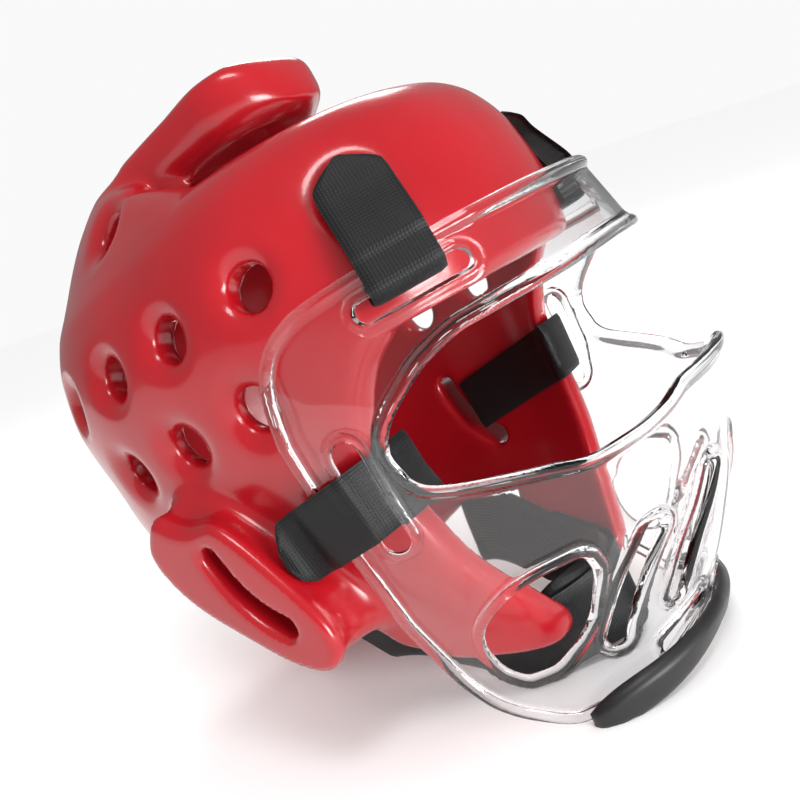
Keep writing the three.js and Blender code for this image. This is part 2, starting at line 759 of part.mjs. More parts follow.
// A flat band along a smooth path, its width lying as close to a given direction as the path lets it.
function ribbon(stations, across, thickness, steps) {
  const curve = new THREE.CatmullRomCurve3(stations.map((station) => station.at), false, "centripetal");
  const widths = stations.map((station, i) => ({ place: i / (stations.length - 1), width: station.width }));
  const widthAt = curveThrough(widths, "place", "width");
  const grid = (offset) =>
    evenSteps(0, 1, steps).map((t) => {
      const at = curve.getPoint(t);
      const along = curve.getTangent(t);
      const aside = across.clone().addScaledVector(along, -across.dot(along)).normalize();
      at.addScaledVector(new THREE.Vector3().crossVectors(along, aside), offset);
      return [-0.5, 0.5].map((share) => at.clone().addScaledVector(aside, share * widthAt(t)));
    });
  return slab(grid(thickness / 2), grid(-thickness / 2));
}

// How far a horizontal line runs from a start inside a surface to the surface itself.
function reachTo(radiusAt, start, direction) {
  let [near, beyond] = [0, 2 * shellFront];
  for (let i = 0; i < 30; i += 1) {
    const reach = (near + beyond) / 2;
    const at = start.clone().addScaledVector(direction, reach);
    const angle = THREE.MathUtils.radToDeg(Math.atan2(at.x, -at.y));
    if (Math.hypot(at.x, at.y) < radiusAt(angle, at.z)) near = reach;
    else beyond = reach;
  }
  return near;
}

// The same for a band of some width: the farthest or nearest of its strands.
function bandReach(pick, radiusAt, start, direction, across) {
  const strands = [-0.5, -0.25, 0, 0.25, 0.5];
  return pick(...strands.map((share) => reachTo(radiusAt, start.clone().addScaledVector(across, share), direction)));
}

// A jaw strap: tongue against the ear guard, over the shield's rear edge, in through the jaw slot,
// round the front edge of the shell and back along the inside of its wall.
function jawStrap(side) {
  const half = strapThickness / 2;
  const slot = surfacePoint(shieldRadius, side * jawSlotAngle, jawSlotLevel);
  const out = new THREE.Vector3(side, 0, 0);
  const across = surfacePoint(shieldRadius, side * jawSlotAngle, jawSlotLevel + strapWidth / 2)
    .sub(surfacePoint(shieldRadius, side * jawSlotAngle, jawSlotLevel - strapWidth / 2))
    .setY(0)
    .normalize();
  const width = across.clone().multiplyScalar(strapWidth);
  const levelAt = (forward) => jawSlotLevel + (forward + slot.y) * Math.tan(radians(jawStrapPitch));
  const station = (forward, reach, share = 1) => ({
    at: new THREE.Vector3(side * reach, -forward, levelAt(forward)),
    width: share * strapWidth,
  });
  const along = (pick, radiusAt, forward, offset) => {
    const start = new THREE.Vector3(0, -forward, levelAt(forward));
    return station(forward, bandReach(pick, radiusAt, start, out, width) + offset);
  };
  const over = shieldRim - shieldPlate / 2 + clearance + half;
  const outside = (forward) => along(Math.max, shieldRadius, forward, over);
  const inside = (forward) => along(Math.min, hollowRadius, forward, -strapThickness - half);
  const rear = pointAt(shieldRadius(shieldEdgeAngle, 0), shieldEdgeAngle, 0);
  const flank = (earHalfWidth * earFlankBulge) / Math.cos(radians(earLean)) - earSetBack + 2 * strapThickness;
  const edge = cheekReach + 2 * strapThickness;
  const stations = [
    station(flank, 0.955 * earReach, 0.12),
    station(flank + 0.4, 0.925 * earReach, 0.72),
    station(flank + 2.5, 0.895 * earReach),
    station(flank + 8, 0.875 * earReach),
    outside(-rear.y - strapThickness),
    outside(-rear.y + 4 * strapThickness),
    outside(-slot.y - 6 * strapThickness),
    outside(-slot.y - 2.4 * strapThickness),
    station(-slot.y - 0.6 * strapThickness, side * slot.x),
    station(-slot.y + 0.8 * strapThickness, side * slot.x - 2.5 * strapThickness),
    station(edge + 0.3 * strapThickness, side * slot.x - 0.7 * wall),
    inside(edge),
    inside(cheekReach - 4 * strapThickness),
    inside(0.6 * cheekReach),
    inside(0.35 * cheekReach),
    inside(cheekReach - jawStrapRun),
  ];
  return ribbon(stations, across, strapThickness, strapSteps);
}

// A temple strap: pointed tongue over the vent, down over the shield's top rim, in through the
// temple slot, up behind the shield and gathered into the vent.
function templeStrap(side) {
  const half = strapThickness / 2;
  const slot = surfacePoint(shieldRadius, side * templeSlotAngle, templeSlotLevel);
  const out = normalOf(shieldRadius, side * templeSlotAngle, templeSlotLevel)
    .add(normalOf(shellRadius, side * templeSlotAngle, templeSlotLevel))
    .setZ(0)
    .normalize();
  const across = new THREE.Vector3().crossVectors(up, out).multiplyScalar(side);
  const middle = slot.clone().addScaledVector(out, -2 * wall);
  const station = (reach, level, share = 1) => ({
    at: middle.clone().addScaledVector(out, reach).setZ(level),
    width: share * strapWidth,
  });
  const strands = across.clone().multiplyScalar(strapWidth);
  const to = (radiusAt, level) => bandReach(Math.max, radiusAt, middle.clone().setZ(level), out, strands);
  const onShell = (level, lift, share = 1) =>
    station(to(shellRadius, level) + 2 * clearance + half + lift, level, share);
  const over = shieldRim - shieldPlate / 2 + 3 * clearance + half;
  const onShield = (level) => station(to(shieldRadius, Math.min(level, shieldTop)) + over, level);
  const tip = strapVentLevel + tongueHeight;
  const lift = 2.2 * strapThickness;
  const stations = [
    onShell(tip, lift, 0.08),
    onShell(tip - 0.3 * tongueHeight, lift, 0.62),
    onShell(tip - 0.62 * tongueHeight, lift, 0.95),
    onShell(strapVentLevel, lift),
    onShield(shieldTop + 0.3 * tongueHeight),
    onShield(shieldTop),
    onShield(templeSlotLevel + 2.6 * strapThickness),
    station(to(shieldRadius, templeSlotLevel), templeSlotLevel + 0.2 * strapThickness),
    onShell(templeSlotLevel + 1.5 * strapThickness, 0),
    onShell(shieldTop, 0, 0.84),
    onShell(strapVentLevel - 1.15 * ventFlare, 0, 0.6),
    station(to(shellRadius, strapVentLevel), strapVentLevel - 0.5 * ventRadius, 0.4),
    station(to(shellRadius, strapVentLevel) - wall, strapVentLevel - 0.2 * ventRadius, 0.38),
  ];
  return ribbon(stations, across, strapThickness, strapSteps);
}

// The chin strap's surface: along the inside of the cheek flaps, then round the chin in front.
function chinRadius(angle, level) {
  const turned = Math.abs(angle);
  const flaps = hollowRadius(angle, level) - 3 * clearance - 0.65 * chinStrapThickness;
  const front = ovalRadius(angle, chinReach, chinHalfWidth, 2);
  const share = THREE.MathUtils.smoothstep(turned, 0, chinTurnAngle);
  return THREE.MathUtils.lerp(front, flaps, share);
}

function chinLevel(angle) {
  const share = THREE.MathUtils.smoothstep(Math.abs(angle), chinRiseAngle, chinStrapAngle);
  return THREE.MathUtils.lerp(chinStrapLevel, chinStrapEndLevel, share);
}

// A wide band round the chin, between two distances from the chin strap's surface.
function chinBand(angles, widthAt, from, to) {
  const grid = (offset) =>
    angles.map((angle) =>
      [-0.5, 0, 0.5].map((share) =>
        surfacePoint(chinRadius, angle, chinLevel(angle) + share * widthAt(angle), offset),
      ),
    );
  return slab(grid(to), grid(from));
}

const chinAngles = evenSteps(-chinStrapAngle, chinStrapAngle, chinStrapSteps);

function chinStrap() {
  const half = chinStrapThickness / 2;
  return chinBand(chinAngles, () => chinStrapWidth, -half, half);
}

function chinCup() {
  const inner = -chinStrapThickness / 2 - 3 * clearance;
  const angles = chinAngles.filter((angle) => Math.abs(angle) < chinCupAngle);
  const widthAt = (angle) => chinStrapWidth * (chinCupWidth - chinCupNarrowing * (angle / chinCupAngle) ** 4);
  return chinBand(angles, widthAt, inner - chinCupThickness, inner);
}

// The chin pad: a strip along the outside of the shield's bottom rim, flat where it rests.
function chinPad() {
  const bottomAt = curveThrough(shieldOutline, "angle", "bottom");
  const gap = shieldRim - shieldPlate / 2 + clearance;
  const grid = (offset) =>
    evenSteps(-chinPadAngle, chinPadAngle, chinPadSteps).map((angle) => {
      const share = Math.abs(angle) / chinPadAngle;
      const rim = -bottomAt(Math.abs(angle) / shieldEdgeAngle) * shieldBottom;
      const low = rim - chinPadHeight * (chinPadBelow + chinPadEndBelow * share ** 2);
      const high = rim + chinPadHeight * (chinPadAbove - chinPadEndAbove * share ** 6);
      return evenSteps(low, high, 2).map((level) => surfacePoint(shieldRadius, angle, level, offset));
    });
  const far = 2 * shieldFront;
  const floor = prismAcross(
    [[-far, restLevel(-far)], [far, restLevel(far)], [far, -far], [-far, -far]],
    far,
  );
  return cut(slab(grid(gap + chinPadThickness), grid(gap)), [floor]);
}

function named(name, solid, material) {
  const mesh = solid.getMesh();
  const geometry = new THREE.BufferGeometry();
  geometry.setAttribute("position", new THREE.BufferAttribute(new Float32Array(mesh.vertProperties), 3));
  geometry.setIndex(new THREE.BufferAttribute(new Uint32Array(mesh.triVerts), 1));
  geometry.computeVertexNormals();
  const piece = new THREE.Mesh(geometry, material);
  piece.name = name;
  return piece;
}

// The level helmet, tilted back on its nape rim and chin pad, origin under the middle of its box.
const helmet = new THREE.Group();
helmet.add(named("shell", shell(), colours.shell));
helmet.add(named("face_shield", faceShield(), colours.shield));
for (const [name, side] of Object.entries(sides)) {
  helmet.add(named(`temple_strap_${name}`, templeStrap(side), colours.webbing));
  helmet.add(named(`jaw_strap_${name}`, jawStrap(side), colours.webbing));
}
helmet.add(named("chin_strap", chinStrap(), colours.webbing));
helmet.add(named("chin_cup", chinCup(), colours.cup));
helmet.add(named("chin_pad", chinPad(), colours.rubber));

helmet.rotation.x = -Math.atan2(chinRestDepth - napeDepth, napeReach + chinRestReach);
const headgear = new THREE.Group();
headgear.add(helmet);
headgear.updateMatrixWorld(true);
const box = new THREE.Box3().setFromObject(headgear, true);
helmet.position.set(0, -(box.min.y + box.max.y) / 2, -box.min.z);

export default headgear;
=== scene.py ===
"""Looks of the sparring headgear: dipped-foam shell, clear face shield, webbing, chin cup and pad.

Sizes are in millimetres in the helmet's own level frame (x the wearer's left, y backwards, z above the
eye line) and are turned into the part's frame, in metres, when a mesh is made.
"""
import math

import bpy
import numpy as np
from mathutils import Matrix, Vector


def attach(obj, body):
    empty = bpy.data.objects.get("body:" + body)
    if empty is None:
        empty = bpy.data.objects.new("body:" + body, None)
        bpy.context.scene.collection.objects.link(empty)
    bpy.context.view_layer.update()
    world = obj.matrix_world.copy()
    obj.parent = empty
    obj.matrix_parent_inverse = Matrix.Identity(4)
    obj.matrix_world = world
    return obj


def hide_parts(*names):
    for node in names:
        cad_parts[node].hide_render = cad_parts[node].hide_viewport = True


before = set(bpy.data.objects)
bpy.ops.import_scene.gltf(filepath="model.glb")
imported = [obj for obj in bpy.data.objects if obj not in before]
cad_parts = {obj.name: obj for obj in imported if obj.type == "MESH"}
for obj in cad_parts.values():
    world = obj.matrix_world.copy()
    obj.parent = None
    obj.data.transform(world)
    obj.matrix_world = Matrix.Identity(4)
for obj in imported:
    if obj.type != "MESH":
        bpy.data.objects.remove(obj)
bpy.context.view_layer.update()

# ---------------------------------------------------------------- sizes, as in the part's source
CLEARANCE = 0.35
SHELL_FRONT, SHELL_BACK, SHELL_SIDE = 117, 124, 95
CROWN_HEIGHT, JAW_DEPTH, SQUARENESS = 168, 95, 2.4
WALL, CROWN_WALL = 13.5, 20
BROW_HEIGHT, CHEEK_REACH, FLAP_DEPTH, NOTCH_DEPTH = 46, 61, 90, 48
NAPE_REACH, NAPE_DEPTH = 97, 75
VENT_RADIUS, VENT_FLARE, VENT_FLARE_DEPTH = 8.5, 13, 5
VENT_PITCH, VENT_FIRST = 24.5, 57.5
UPPER_VENT, LOWER_VENT = 84, 46
CROWN_VENT_ANGLE, CROWN_VENT_LEVEL = 114, 139
STRAP_VENT_LEVEL, STRAP_VENT_ANGLE, TEMPLE_SLOT_ANGLE = 92, 32.5, 34
PAD_HALF_WIDTH, PAD_FRONT, PAD_ROOT, PAD_TAIL, PAD_TOP, PAD_GAP, RIM_LEVEL = 33, 55, -12, -60, 166, 14, 128
EAR_REACH, EAR_HALF_WIDTH, EAR_HALF_HEIGHT, EAR_LEVEL = 108, 21, 46.5, -8
EAR_LEAN, EAR_SET_BACK, EAR_TAPER, EAR_FLANK_BULGE = 38, 5.3, 0.14, 0.9
EAR_SLOT_LENGTH, EAR_SLOT_WIDTH, EAR_SLOT_BEND = 48, 10.5, 4
EAR_SLOT_AHEAD, EAR_SLOT_DROP, EAR_SLOT_TURN = 2.5, 4.5, 10
SHIELD_PLATE, SHIELD_RIM = 3, 5
SHIELD_FRONT = 150
SHIELD_SIDE = SHELL_SIDE + SHIELD_PLATE / 2 + CLEARANCE
SHIELD_TOP, SHIELD_BOTTOM, SHIELD_EDGE = 70, 116, 67.5
EYE_END, EYE_TOP, EYE_BOTTOM = 49, 37.5, 18
JAW_HOLE_ANGLE, JAW_HOLE_SPREAD, JAW_HOLE_LEVEL, JAW_HOLE_HEIGHT = 39.3, 12.3, -70, 37
MOUTH_SLOT_WIDTH = 8.5
TEMPLE_SLOT_LEVEL, TEMPLE_SLOT_LENGTH, TEMPLE_SLOT_WIDTH = 56.5, 32, 7
JAW_SLOT_ANGLE, JAW_SLOT_LEVEL, JAW_SLOT_LENGTH, JAW_SLOT_WIDTH = 56, 1.5, 34, 10.2
STRAP_WIDTH, STRAP_THICKNESS = 26.6, 1.5
JAW_STRAP_PITCH, JAW_STRAP_RUN, TONGUE_HEIGHT = 9, 58, 12
CHIN_STRAP_WIDTH, CHIN_STRAP_THICKNESS, CHIN_STRAP_ANGLE = 33, 2.5, 112
CHIN_STRAP_LEVEL, CHIN_STRAP_END_LEVEL, CHIN_RISE_ANGLE = -91, -62, 25
CHIN_TURN_ANGLE, CHIN_REACH, CHIN_HALF_WIDTH = 22, 77, 60
CHIN_CUP_THICKNESS, CHIN_CUP_ANGLE, CHIN_CUP_WIDTH, CHIN_CUP_NARROWING = 8, 34, 1.15, 0.55
CHIN_PAD_THICKNESS, CHIN_PAD_ANGLE, CHIN_PAD_HEIGHT = 5, 38, 15
CHIN_REST_REACH, CHIN_REST_DEPTH = 76, 117

# How softly the forms are rounded and run into each other
TOP_ROUNDING, SLOPE_ROUNDING, HOLLOW_ROUNDING, EDGE_ROUNDING, VENT_ROUNDING = 6, 9, 12, 6, 5
PAD_ROUNDING, PAD_FOOT_ROUNDING, PAD_GAP_ROUNDING, PAD_JOIN = 7, 6, 5, 4
EAR_ROUNDING, EAR_SLOT_ROUNDING, EAR_JOIN = 4, 3.5, 7
PLATE_ROUNDING, BEAD_JOIN, EDGE_TRIM = 1.2, 1.6, 0.3

# level, front, back, side
SHELL_SECTIONS = np.array([
    [-1.0, 0.7, 0.68, 0.54], [-0.63, 0.81, 0.81, 0.72], [-0.32, 0.87, 0.9, 0.88], [0.0, 0.94, 0.97, 0.93],
    [0.24, 0.985, 1.0, 0.98], [0.42, 1.0, 1.0, 1.0], [0.57, 0.975, 0.97, 0.95], [0.665, 0.92, 0.92, 0.87],
    [0.73, 0.83, 0.87, 0.77], [0.765, 0.74, 0.85, 0.71], [0.835, 0.57, 0.79, 0.6], [0.905, 0.465, 0.695, 0.485],
    [0.96, 0.38, 0.58, 0.36], [0.99, 0.23, 0.4, 0.2],
])
# level, front, side, squareness
SHIELD_SECTIONS = np.array([
    [-1.02, 0.635, 0.712, 2.4], [-0.965, 0.66, 0.723, 2.35], [-0.835, 0.727, 0.754, 2.0],
    [-0.733, 0.787, 0.774, 1.8], [-0.603, 0.853, 0.805, 1.75], [-0.448, 0.92, 0.857, 1.8],
    [-0.26, 0.97, 0.898, 2.0], [-0.103, 1.0, 0.934, 2.25], [0.0, 0.987, 0.96, 2.4],
    [0.57, 0.927, 0.994, 2.3], [1.0, 0.88, 0.994, 2.2],
])
# angle, top, bottom
SHIELD_OUTLINE = np.array([
    [0.0, 1.0, 0.965], [0.35, 1.0, 0.99], [0.58, 1.0, 0.985], [0.75, 0.985, 0.91], [0.86, 0.92, 0.83],
    [0.92, 0.83, 0.75], [0.965, 0.69, 0.64], [1.0, 0.43, 0.42],
])
EYE_OUTLINE = np.array([
    [0.0, 1.0, 0.63], [0.18, 0.99, 0.64], [0.28, 0.98, 0.87], [0.38, 0.98, 0.98], [0.48, 0.985, 1.0],
    [0.62, 0.985, 0.75], [0.76, 0.9, 0.49], [0.87, 0.74, 0.27], [0.95, 0.58, 0.05], [0.985, 0.46, -0.19],
    [1.0, 0.35, -0.6],
])
JAW_HOLE_OUTLINE = np.array([
    [-1.0, 0.3, 0.2], [-0.93, 0.44, 0.03], [-0.8, 0.5, -0.16], [-0.4, 0.5, -0.38], [0.1, 0.46, -0.5],
    [0.5, 0.36, -0.49], [0.8, 0.24, -0.37], [0.95, 0.12, -0.22], [1.0, 0.02, -0.08],
])
# from angle, from level, to angle, to level, width
MOUTH_SLOTS = [
    (0.66, -0.76, 0.43, -0.49, 1.0), (0.33, -0.74, 0.15, -0.42, 0.8), (0.42, -0.895, 0.14, -0.845, 0.75),
]
# reach, width, height
EAR_SECTIONS = np.array([
    [0.72, 0.98, 1.02], [0.82, 0.92, 0.98], [0.89, 0.9, 0.96], [0.93, 0.95, 0.98], [0.965, 1.0, 1.0],
    [0.99, 1.0, 1.0], [1.0, 1.0, 1.0],
])
# along, top
PAD_SECTIONS = np.array([
    [0.0, 0.92], [0.15, 0.965], [0.35, 0.99], [0.6, 0.995], [0.78, 1.0], [0.88, 1.0], [0.95, 0.985],
    [0.985, 0.96], [1.0, 0.92],
])

# At rest the helmet tilts back on its nape rim and chin pad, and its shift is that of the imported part
TILT = -math.atan2(CHIN_REST_DEPTH - NAPE_DEPTH, NAPE_REACH + CHIN_REST_REACH)
SHIFT = (0.0, 5.69048, 95.76730)
TO_PART = Matrix.Translation(Vector(SHIFT)) @ Matrix.Rotation(TILT, 4, "X")


def curve_through(xs, ys):
    """A smooth curve through points that never swings past them."""
    steps = np.diff(xs)
    slopes = np.diff(ys) / steps
    product = slopes[:-1] * slopes[1:]
    inner = np.where(product > 0, 2 * product / np.where(product > 0, slopes[:-1] + slopes[1:], 1), 0)
    tangents = np.concatenate([slopes[:1], inner, slopes[-1:]])

    def at(x):
        place = np.clip(x, xs[0], xs[-1])
        i = np.clip(np.searchsorted(xs, place, side="right") - 1, 0, len(xs) - 2)
        t = (place - xs[i]) / steps[i]
        rise = steps[i] * t * (1 - t) * ((1 - t) * tangents[i] - t * tangents[i + 1])
        return ys[i] + (ys[i + 1] - ys[i]) * t * t * (3 - 2 * t) + rise

    return at


def columns(table, scales):
    """One curve for each column of a table after the first, which is the place."""
    place = table[:, 0] * scales[0]
    return [curve_through(place, table[:, i] * scales[i]) for i in range(1, table.shape[1])]


shell_table = SHELL_SECTIONS * [1, SHELL_FRONT, SHELL_BACK, SHELL_SIDE]
shell_table[:, 0] *= np.where(shell_table[:, 0] < 0, JAW_DEPTH, CROWN_HEIGHT)
shield_table = SHIELD_SECTIONS * [1, SHIELD_FRONT, SHIELD_SIDE, 1]
shield_table[:, 0] *= np.where(shield_table[:, 0] < 0, SHIELD_BOTTOM, SHIELD_TOP)
shell_front_at, shell_back_at, shell_side_at = columns(shell_table, [1, 1, 1, 1])
shield_front_at, shield_side_at, shield_squareness_at = columns(shield_table, [1, 1, 1, 1])
outline_top, outline_bottom = columns(SHIELD_OUTLINE, [1, SHIELD_TOP, -SHIELD_BOTTOM])
eye_top, eye_bottom = columns(EYE_OUTLINE, [1, EYE_TOP, -EYE_BOTTOM])
jaw_top, jaw_bottom = columns(JAW_HOLE_OUTLINE, [1, JAW_HOLE_HEIGHT, JAW_HOLE_HEIGHT])
ear_width, ear_height = columns(EAR_SECTIONS, [EAR_REACH, EAR_HALF_WIDTH, EAR_HALF_HEIGHT])
(pad_top,) = columns(PAD_SECTIONS, [1, PAD_TOP])


def oval_radius(angle, front, side, squareness):
    ahead = np.abs(np.cos(np.radians(angle)))
    aside = np.abs(np.sin(np.radians(angle)))
    return ((ahead / front) ** squareness + (aside / side) ** squareness) ** (-1 / squareness)


def shell_radius(angle, level):
    reach = np.where(np.cos(np.radians(angle)) > 0, shell_front_at(level), shell_back_at(level))
    return oval_radius(angle, reach, shell_side_at(level), SQUARENESS)


def hollow_radius(angle, level):
    outside = np.where(level > 0, level * CROWN_HEIGHT / (CROWN_HEIGHT - CROWN_WALL), level)
    return np.maximum(shell_radius(angle, outside) - WALL, 1)


def shield_radius(angle, level):
    return oval_radius(angle, shield_front_at(level), shield_side_at(level), shield_squareness_at(level))


def smooth_step(x, low, high):
    t = np.clip((x - low) / (high - low), 0, 1)
    return t * t * (3 - 2 * t)


def point_at(radius, angle, level):
    turn = np.radians(angle)
    return np.stack(np.broadcast_arrays(radius * np.sin(turn), -radius * np.cos(turn), level), -1)


def unit(v):
    return v / np.linalg.norm(v, axis=-1, keepdims=True)


def normal_of(radius_at, angle, level):
    step = 0.5
    aside = point_at(radius_at(angle + step, level), angle + step, level) - point_at(
        radius_at(angle - step, level), angle - step, level)
    above = point_at(radius_at(angle, level + step), angle, level + step) - point_at(
        radius_at(angle, level - step), angle, level - step)
    return unit(np.cross(aside, above))


def surface_point(radius_at, angle, level, offset=0.0):
    return point_at(radius_at(angle, level), angle, level) + normal_of(radius_at, angle, level) * offset


def rest_level(forward):
    share = (forward + NAPE_REACH) / (NAPE_REACH + CHIN_REST_REACH)
    return -(NAPE_DEPTH + (CHIN_REST_DEPTH - NAPE_DEPTH) * share)


# ---------------------------------------------------------------- distance fields and their meshes
def smooth_max(a, b, k):
    h = np.maximum(k - np.abs(a - b), 0) / k
    return np.maximum(a, b) + h * h * k / 4


def smooth_min(a, b, k):
    return -smooth_max(-a, -b, k)


def evened(field, pitch, least_slope=0.35):
    """A field divided by its own slope, so that it reads as a distance near its surface."""
    slope = np.sqrt(sum(g * g for g in np.gradient(field, pitch)))
    return field / np.maximum(slope, least_slope)


def polygon_distance(u, v, outline):
    """Signed distance to a closed outline in a plane, negative inside."""
    best = np.full(np.broadcast(u, v).shape, 1e9)
    inside = np.zeros(best.shape, bool)
    for (ax, ay), (bx, by) in zip(outline, np.roll(outline, -1, axis=0)):
        ex, ey = bx - ax, by - ay
        t = np.clip(((u - ax) * ex + (v - ay) * ey) / max(ex * ex + ey * ey, 1e-9), 0, 1)
        best = np.minimum(best, (u - ax - t * ex) ** 2 + (v - ay - t * ey) ** 2)
        if ay != by:
            inside ^= ((ay > v) != (by > v)) & (u < ax + (v - ay) * ex / ey)
    return np.sqrt(best) * np.where(inside, -1, 1)


def eased(points, per=6):
    """A smooth path through points, open at its ends."""
    p = np.asarray(points, float)
    p = np.vstack([2 * p[0] - p[1], p, 2 * p[-1] - p[-2]])
    t = np.linspace(0, 1, per, endpoint=False)[:, None]
    parts = []
    for a, b, c, d in zip(p[:-3], p[1:-2], p[2:-1], p[3:]):
        square, cube = 2 * a - 5 * b + 4 * c - d, 3 * b - a - 3 * c + d
        parts.append(0.5 * (2 * b + (c - a) * t + square * t ** 2 + cube * t ** 3))
    return np.vstack(parts + [p[-2][None]])


def sampled(field, low, pitch, points):
    """The field at points, linear between its grid's nodes."""
    place = (points - low) / pitch
    cell = np.clip(np.floor(place).astype(int), 0, np.array(field.shape) - 2)
    f = place - cell
    total = 0
    for dx in (0, 1):
        for dy in (0, 1):
            for dz in (0, 1):
                weight = np.prod(np.where([dx, dy, dz], f, 1 - f), axis=1)
                total = total + weight * field[cell[:, 0] + dx, cell[:, 1] + dy, cell[:, 2] + dz]
    return total


def net_of(field, low, pitch):
    """Points, quads and normals of the surface where a field changes sign."""
    inside = field < 0
    n = np.array(field.shape) - 1
    corners = [(x, y, z) for x in (0, 1) for y in (0, 1) for z in (0, 1)]

    def shifted(array, c):
        return array[c[0]:n[0] + c[0], c[1]:n[1] + c[1], c[2]:n[2] + c[2]]

    count = sum(shifted(inside, c).astype(np.int8) for c in corners)
    cells = np.argwhere((count > 0) & (count < 8))
    number = np.full(n, -1, np.int64)
    number[tuple(cells.T)] = np.arange(len(cells))
    total = np.zeros((len(cells), 3))
    hits = np.zeros(len(cells))
    for a in corners:
        for axis in range(3):
            if a[axis]:
                continue
            b = tuple(v + (i == axis) for i, v in enumerate(a))
            fa = field[tuple((cells + a).T)]
            fb = field[tuple((cells + b).T)]
            crossed = (fa < 0) != (fb < 0)
            t = np.where(crossed, fa / np.where(crossed, fa - fb, 1), 0)
            spot = np.array(a, float) + t[:, None] * (np.array(b) - np.array(a))
            total += np.where(crossed[:, None], spot, 0)
            hits += crossed
    points = low + (cells + total / hits[:, None]) * pitch
    quads = []
    for axis in range(3):
        u, v = (axis + 1) % 3, (axis + 2) % 3
        here = [slice(1, -1)] * 3
        here[axis] = slice(0, -1)
        there = list(here)
        there[axis] = slice(1, None)
        here, there = tuple(here), tuple(there)
        start = inside[here]
        edges = np.argwhere(start != inside[there])
        flags = start[tuple(edges.T)]
        base = edges + [int(i != axis) for i in range(3)]
        ring = []
        for du, dv in ((-1, -1), (0, -1), (0, 0), (-1, 0)):
            cell = base.copy()
            cell[:, u] += du
            cell[:, v] += dv
            ring.append(number[tuple(cell.T)])
        ring = np.stack(ring, 1)
        quads.append(np.where(flags[:, None], ring, ring[:, ::-1]))
    quads = np.vstack(quads)
    slopes = np.gradient(field, pitch)
    for _ in range(3):
        g = np.stack([sampled(s, low, pitch, points) for s in slopes], 1)
        value = sampled(field, low, pitch, points)
        move = (value / np.maximum((g * g).sum(1), 0.1))[:, None] * g
        size = np.linalg.norm(move, axis=1, keepdims=True)
        points = points - move * np.minimum(1, 0.5 * pitch / np.maximum(size, 1e-9))
    g = np.stack([sampled(s, low, pitch, points) for s in slopes], 1)
    return points, quads, unit(g + 1e-12)


def mirrored(half):
    """A field on the wearer's left, from x = 0 on, carried over to both sides."""
    return np.concatenate([half[:0:-1], half], axis=0)


def piece_of(name, points, faces, normals=None, uv=None):
    """A mesh object from points in the helmet's frame."""
    matrix = np.array(TO_PART)
    placed = (points @ matrix[:3, :3].T + matrix[:3, 3]) / 1000
    mesh = bpy.data.meshes.new(name)
    mesh.from_pydata(placed.tolist(), [], np.asarray(faces).tolist())
    mesh.validate()
    mesh.update()
    mesh.shade_smooth()
    if normals is not None:
        mesh.normals_split_custom_set_from_vertices((normals @ matrix[:3, :3].T).tolist())
    if uv is not None:
        layer = mesh.uv_layers.new(name="UVMap")
        loops = np.zeros(len(mesh.loops), np.int32)
        mesh.loops.foreach_get("vertex_index", loops)
        layer.data.foreach_set("uv", uv[loops].astype(np.float32).ravel())
    obj = bpy.data.objects.new(name, mesh)
    bpy.context.scene.collection.objects.link(obj)
    return obj


# ---------------------------------------------------------------- shell
def face_cut(forward, level):
    path = [
        [-NAPE_REACH + WALL, rest_level(-NAPE_REACH + WALL)],
        [-0.3 * SHELL_BACK, -0.5 * (NAPE_DEPTH + NOTCH_DEPTH) + 0.05 * FLAP_DEPTH],
        [0.08 * CHEEK_REACH, -NOTCH_DEPTH],
        [0.19 * CHEEK_REACH, -0.72 * FLAP_DEPTH],
        [0.54 * CHEEK_REACH, -0.9 * FLAP_DEPTH],
        [0.9 * CHEEK_REACH, -FLAP_DEPTH],
        [1.05 * CHEEK_REACH, -0.99 * FLAP_DEPTH],
        [1.1 * CHEEK_REACH, -0.9 * FLAP_DEPTH],
        [1.09 * CHEEK_REACH, -0.78 * FLAP_DEPTH],
        [1.04 * CHEEK_REACH, -0.48 * FLAP_DEPTH],
        [1.02 * CHEEK_REACH, -0.19 * FLAP_DEPTH],
        [CHEEK_REACH, 0.1 * BROW_HEIGHT],
        [1.02 * CHEEK_REACH, 0.41 * BROW_HEIGHT],
        [1.2 * CHEEK_REACH, 0.81 * BROW_HEIGHT],
        [1.4 * CHEEK_REACH, 1.03 * BROW_HEIGHT],
    ]
    far = 2 * SHELL_FRONT
    ends = [[far, 0.97 * BROW_HEIGHT], [far, -far], [-far, -far], [-far, rest_level(-far)]]
    return polygon_distance(forward, level, np.vstack([eased(path), ends]))


def slope_cut(forward, level):
    far = 2 * CROWN_HEIGHT
    outline = np.array([
        [PAD_TAIL, 1.03 * CROWN_HEIGHT], [PAD_ROOT - 0.3 * PAD_GAP, 0.9 * CROWN_HEIGHT],
        [0.55 * PAD_FRONT, RIM_LEVEL], [far, RIM_LEVEL], [far, far], [PAD_TAIL, far],
    ])
    return polygon_distance(forward, level, outline)


def pad_outline(distance, tail):
    half = PAD_HALF_WIDTH + distance
    front = PAD_FRONT + distance
    turn = np.radians(np.arange(180, -1, -6))
    arc = np.stack([half * np.cos(turn), front - 0.85 * half + 0.85 * half * np.sin(turn)], 1)
    return np.vstack([[-half, tail], arc, [half, tail]])


def vent_places():
    places = [(VENT_FIRST + i * VENT_PITCH, UPPER_VENT) for i in range(6)]
    places += [(VENT_FIRST + (i + 0.5) * VENT_PITCH, LOWER_VENT) for i in range(5)]
    places += [(CROWN_VENT_ANGLE, CROWN_VENT_LEVEL), (STRAP_VENT_ANGLE, STRAP_VENT_LEVEL)]
    return [(min(angle, 180), level) for angle, level in places]


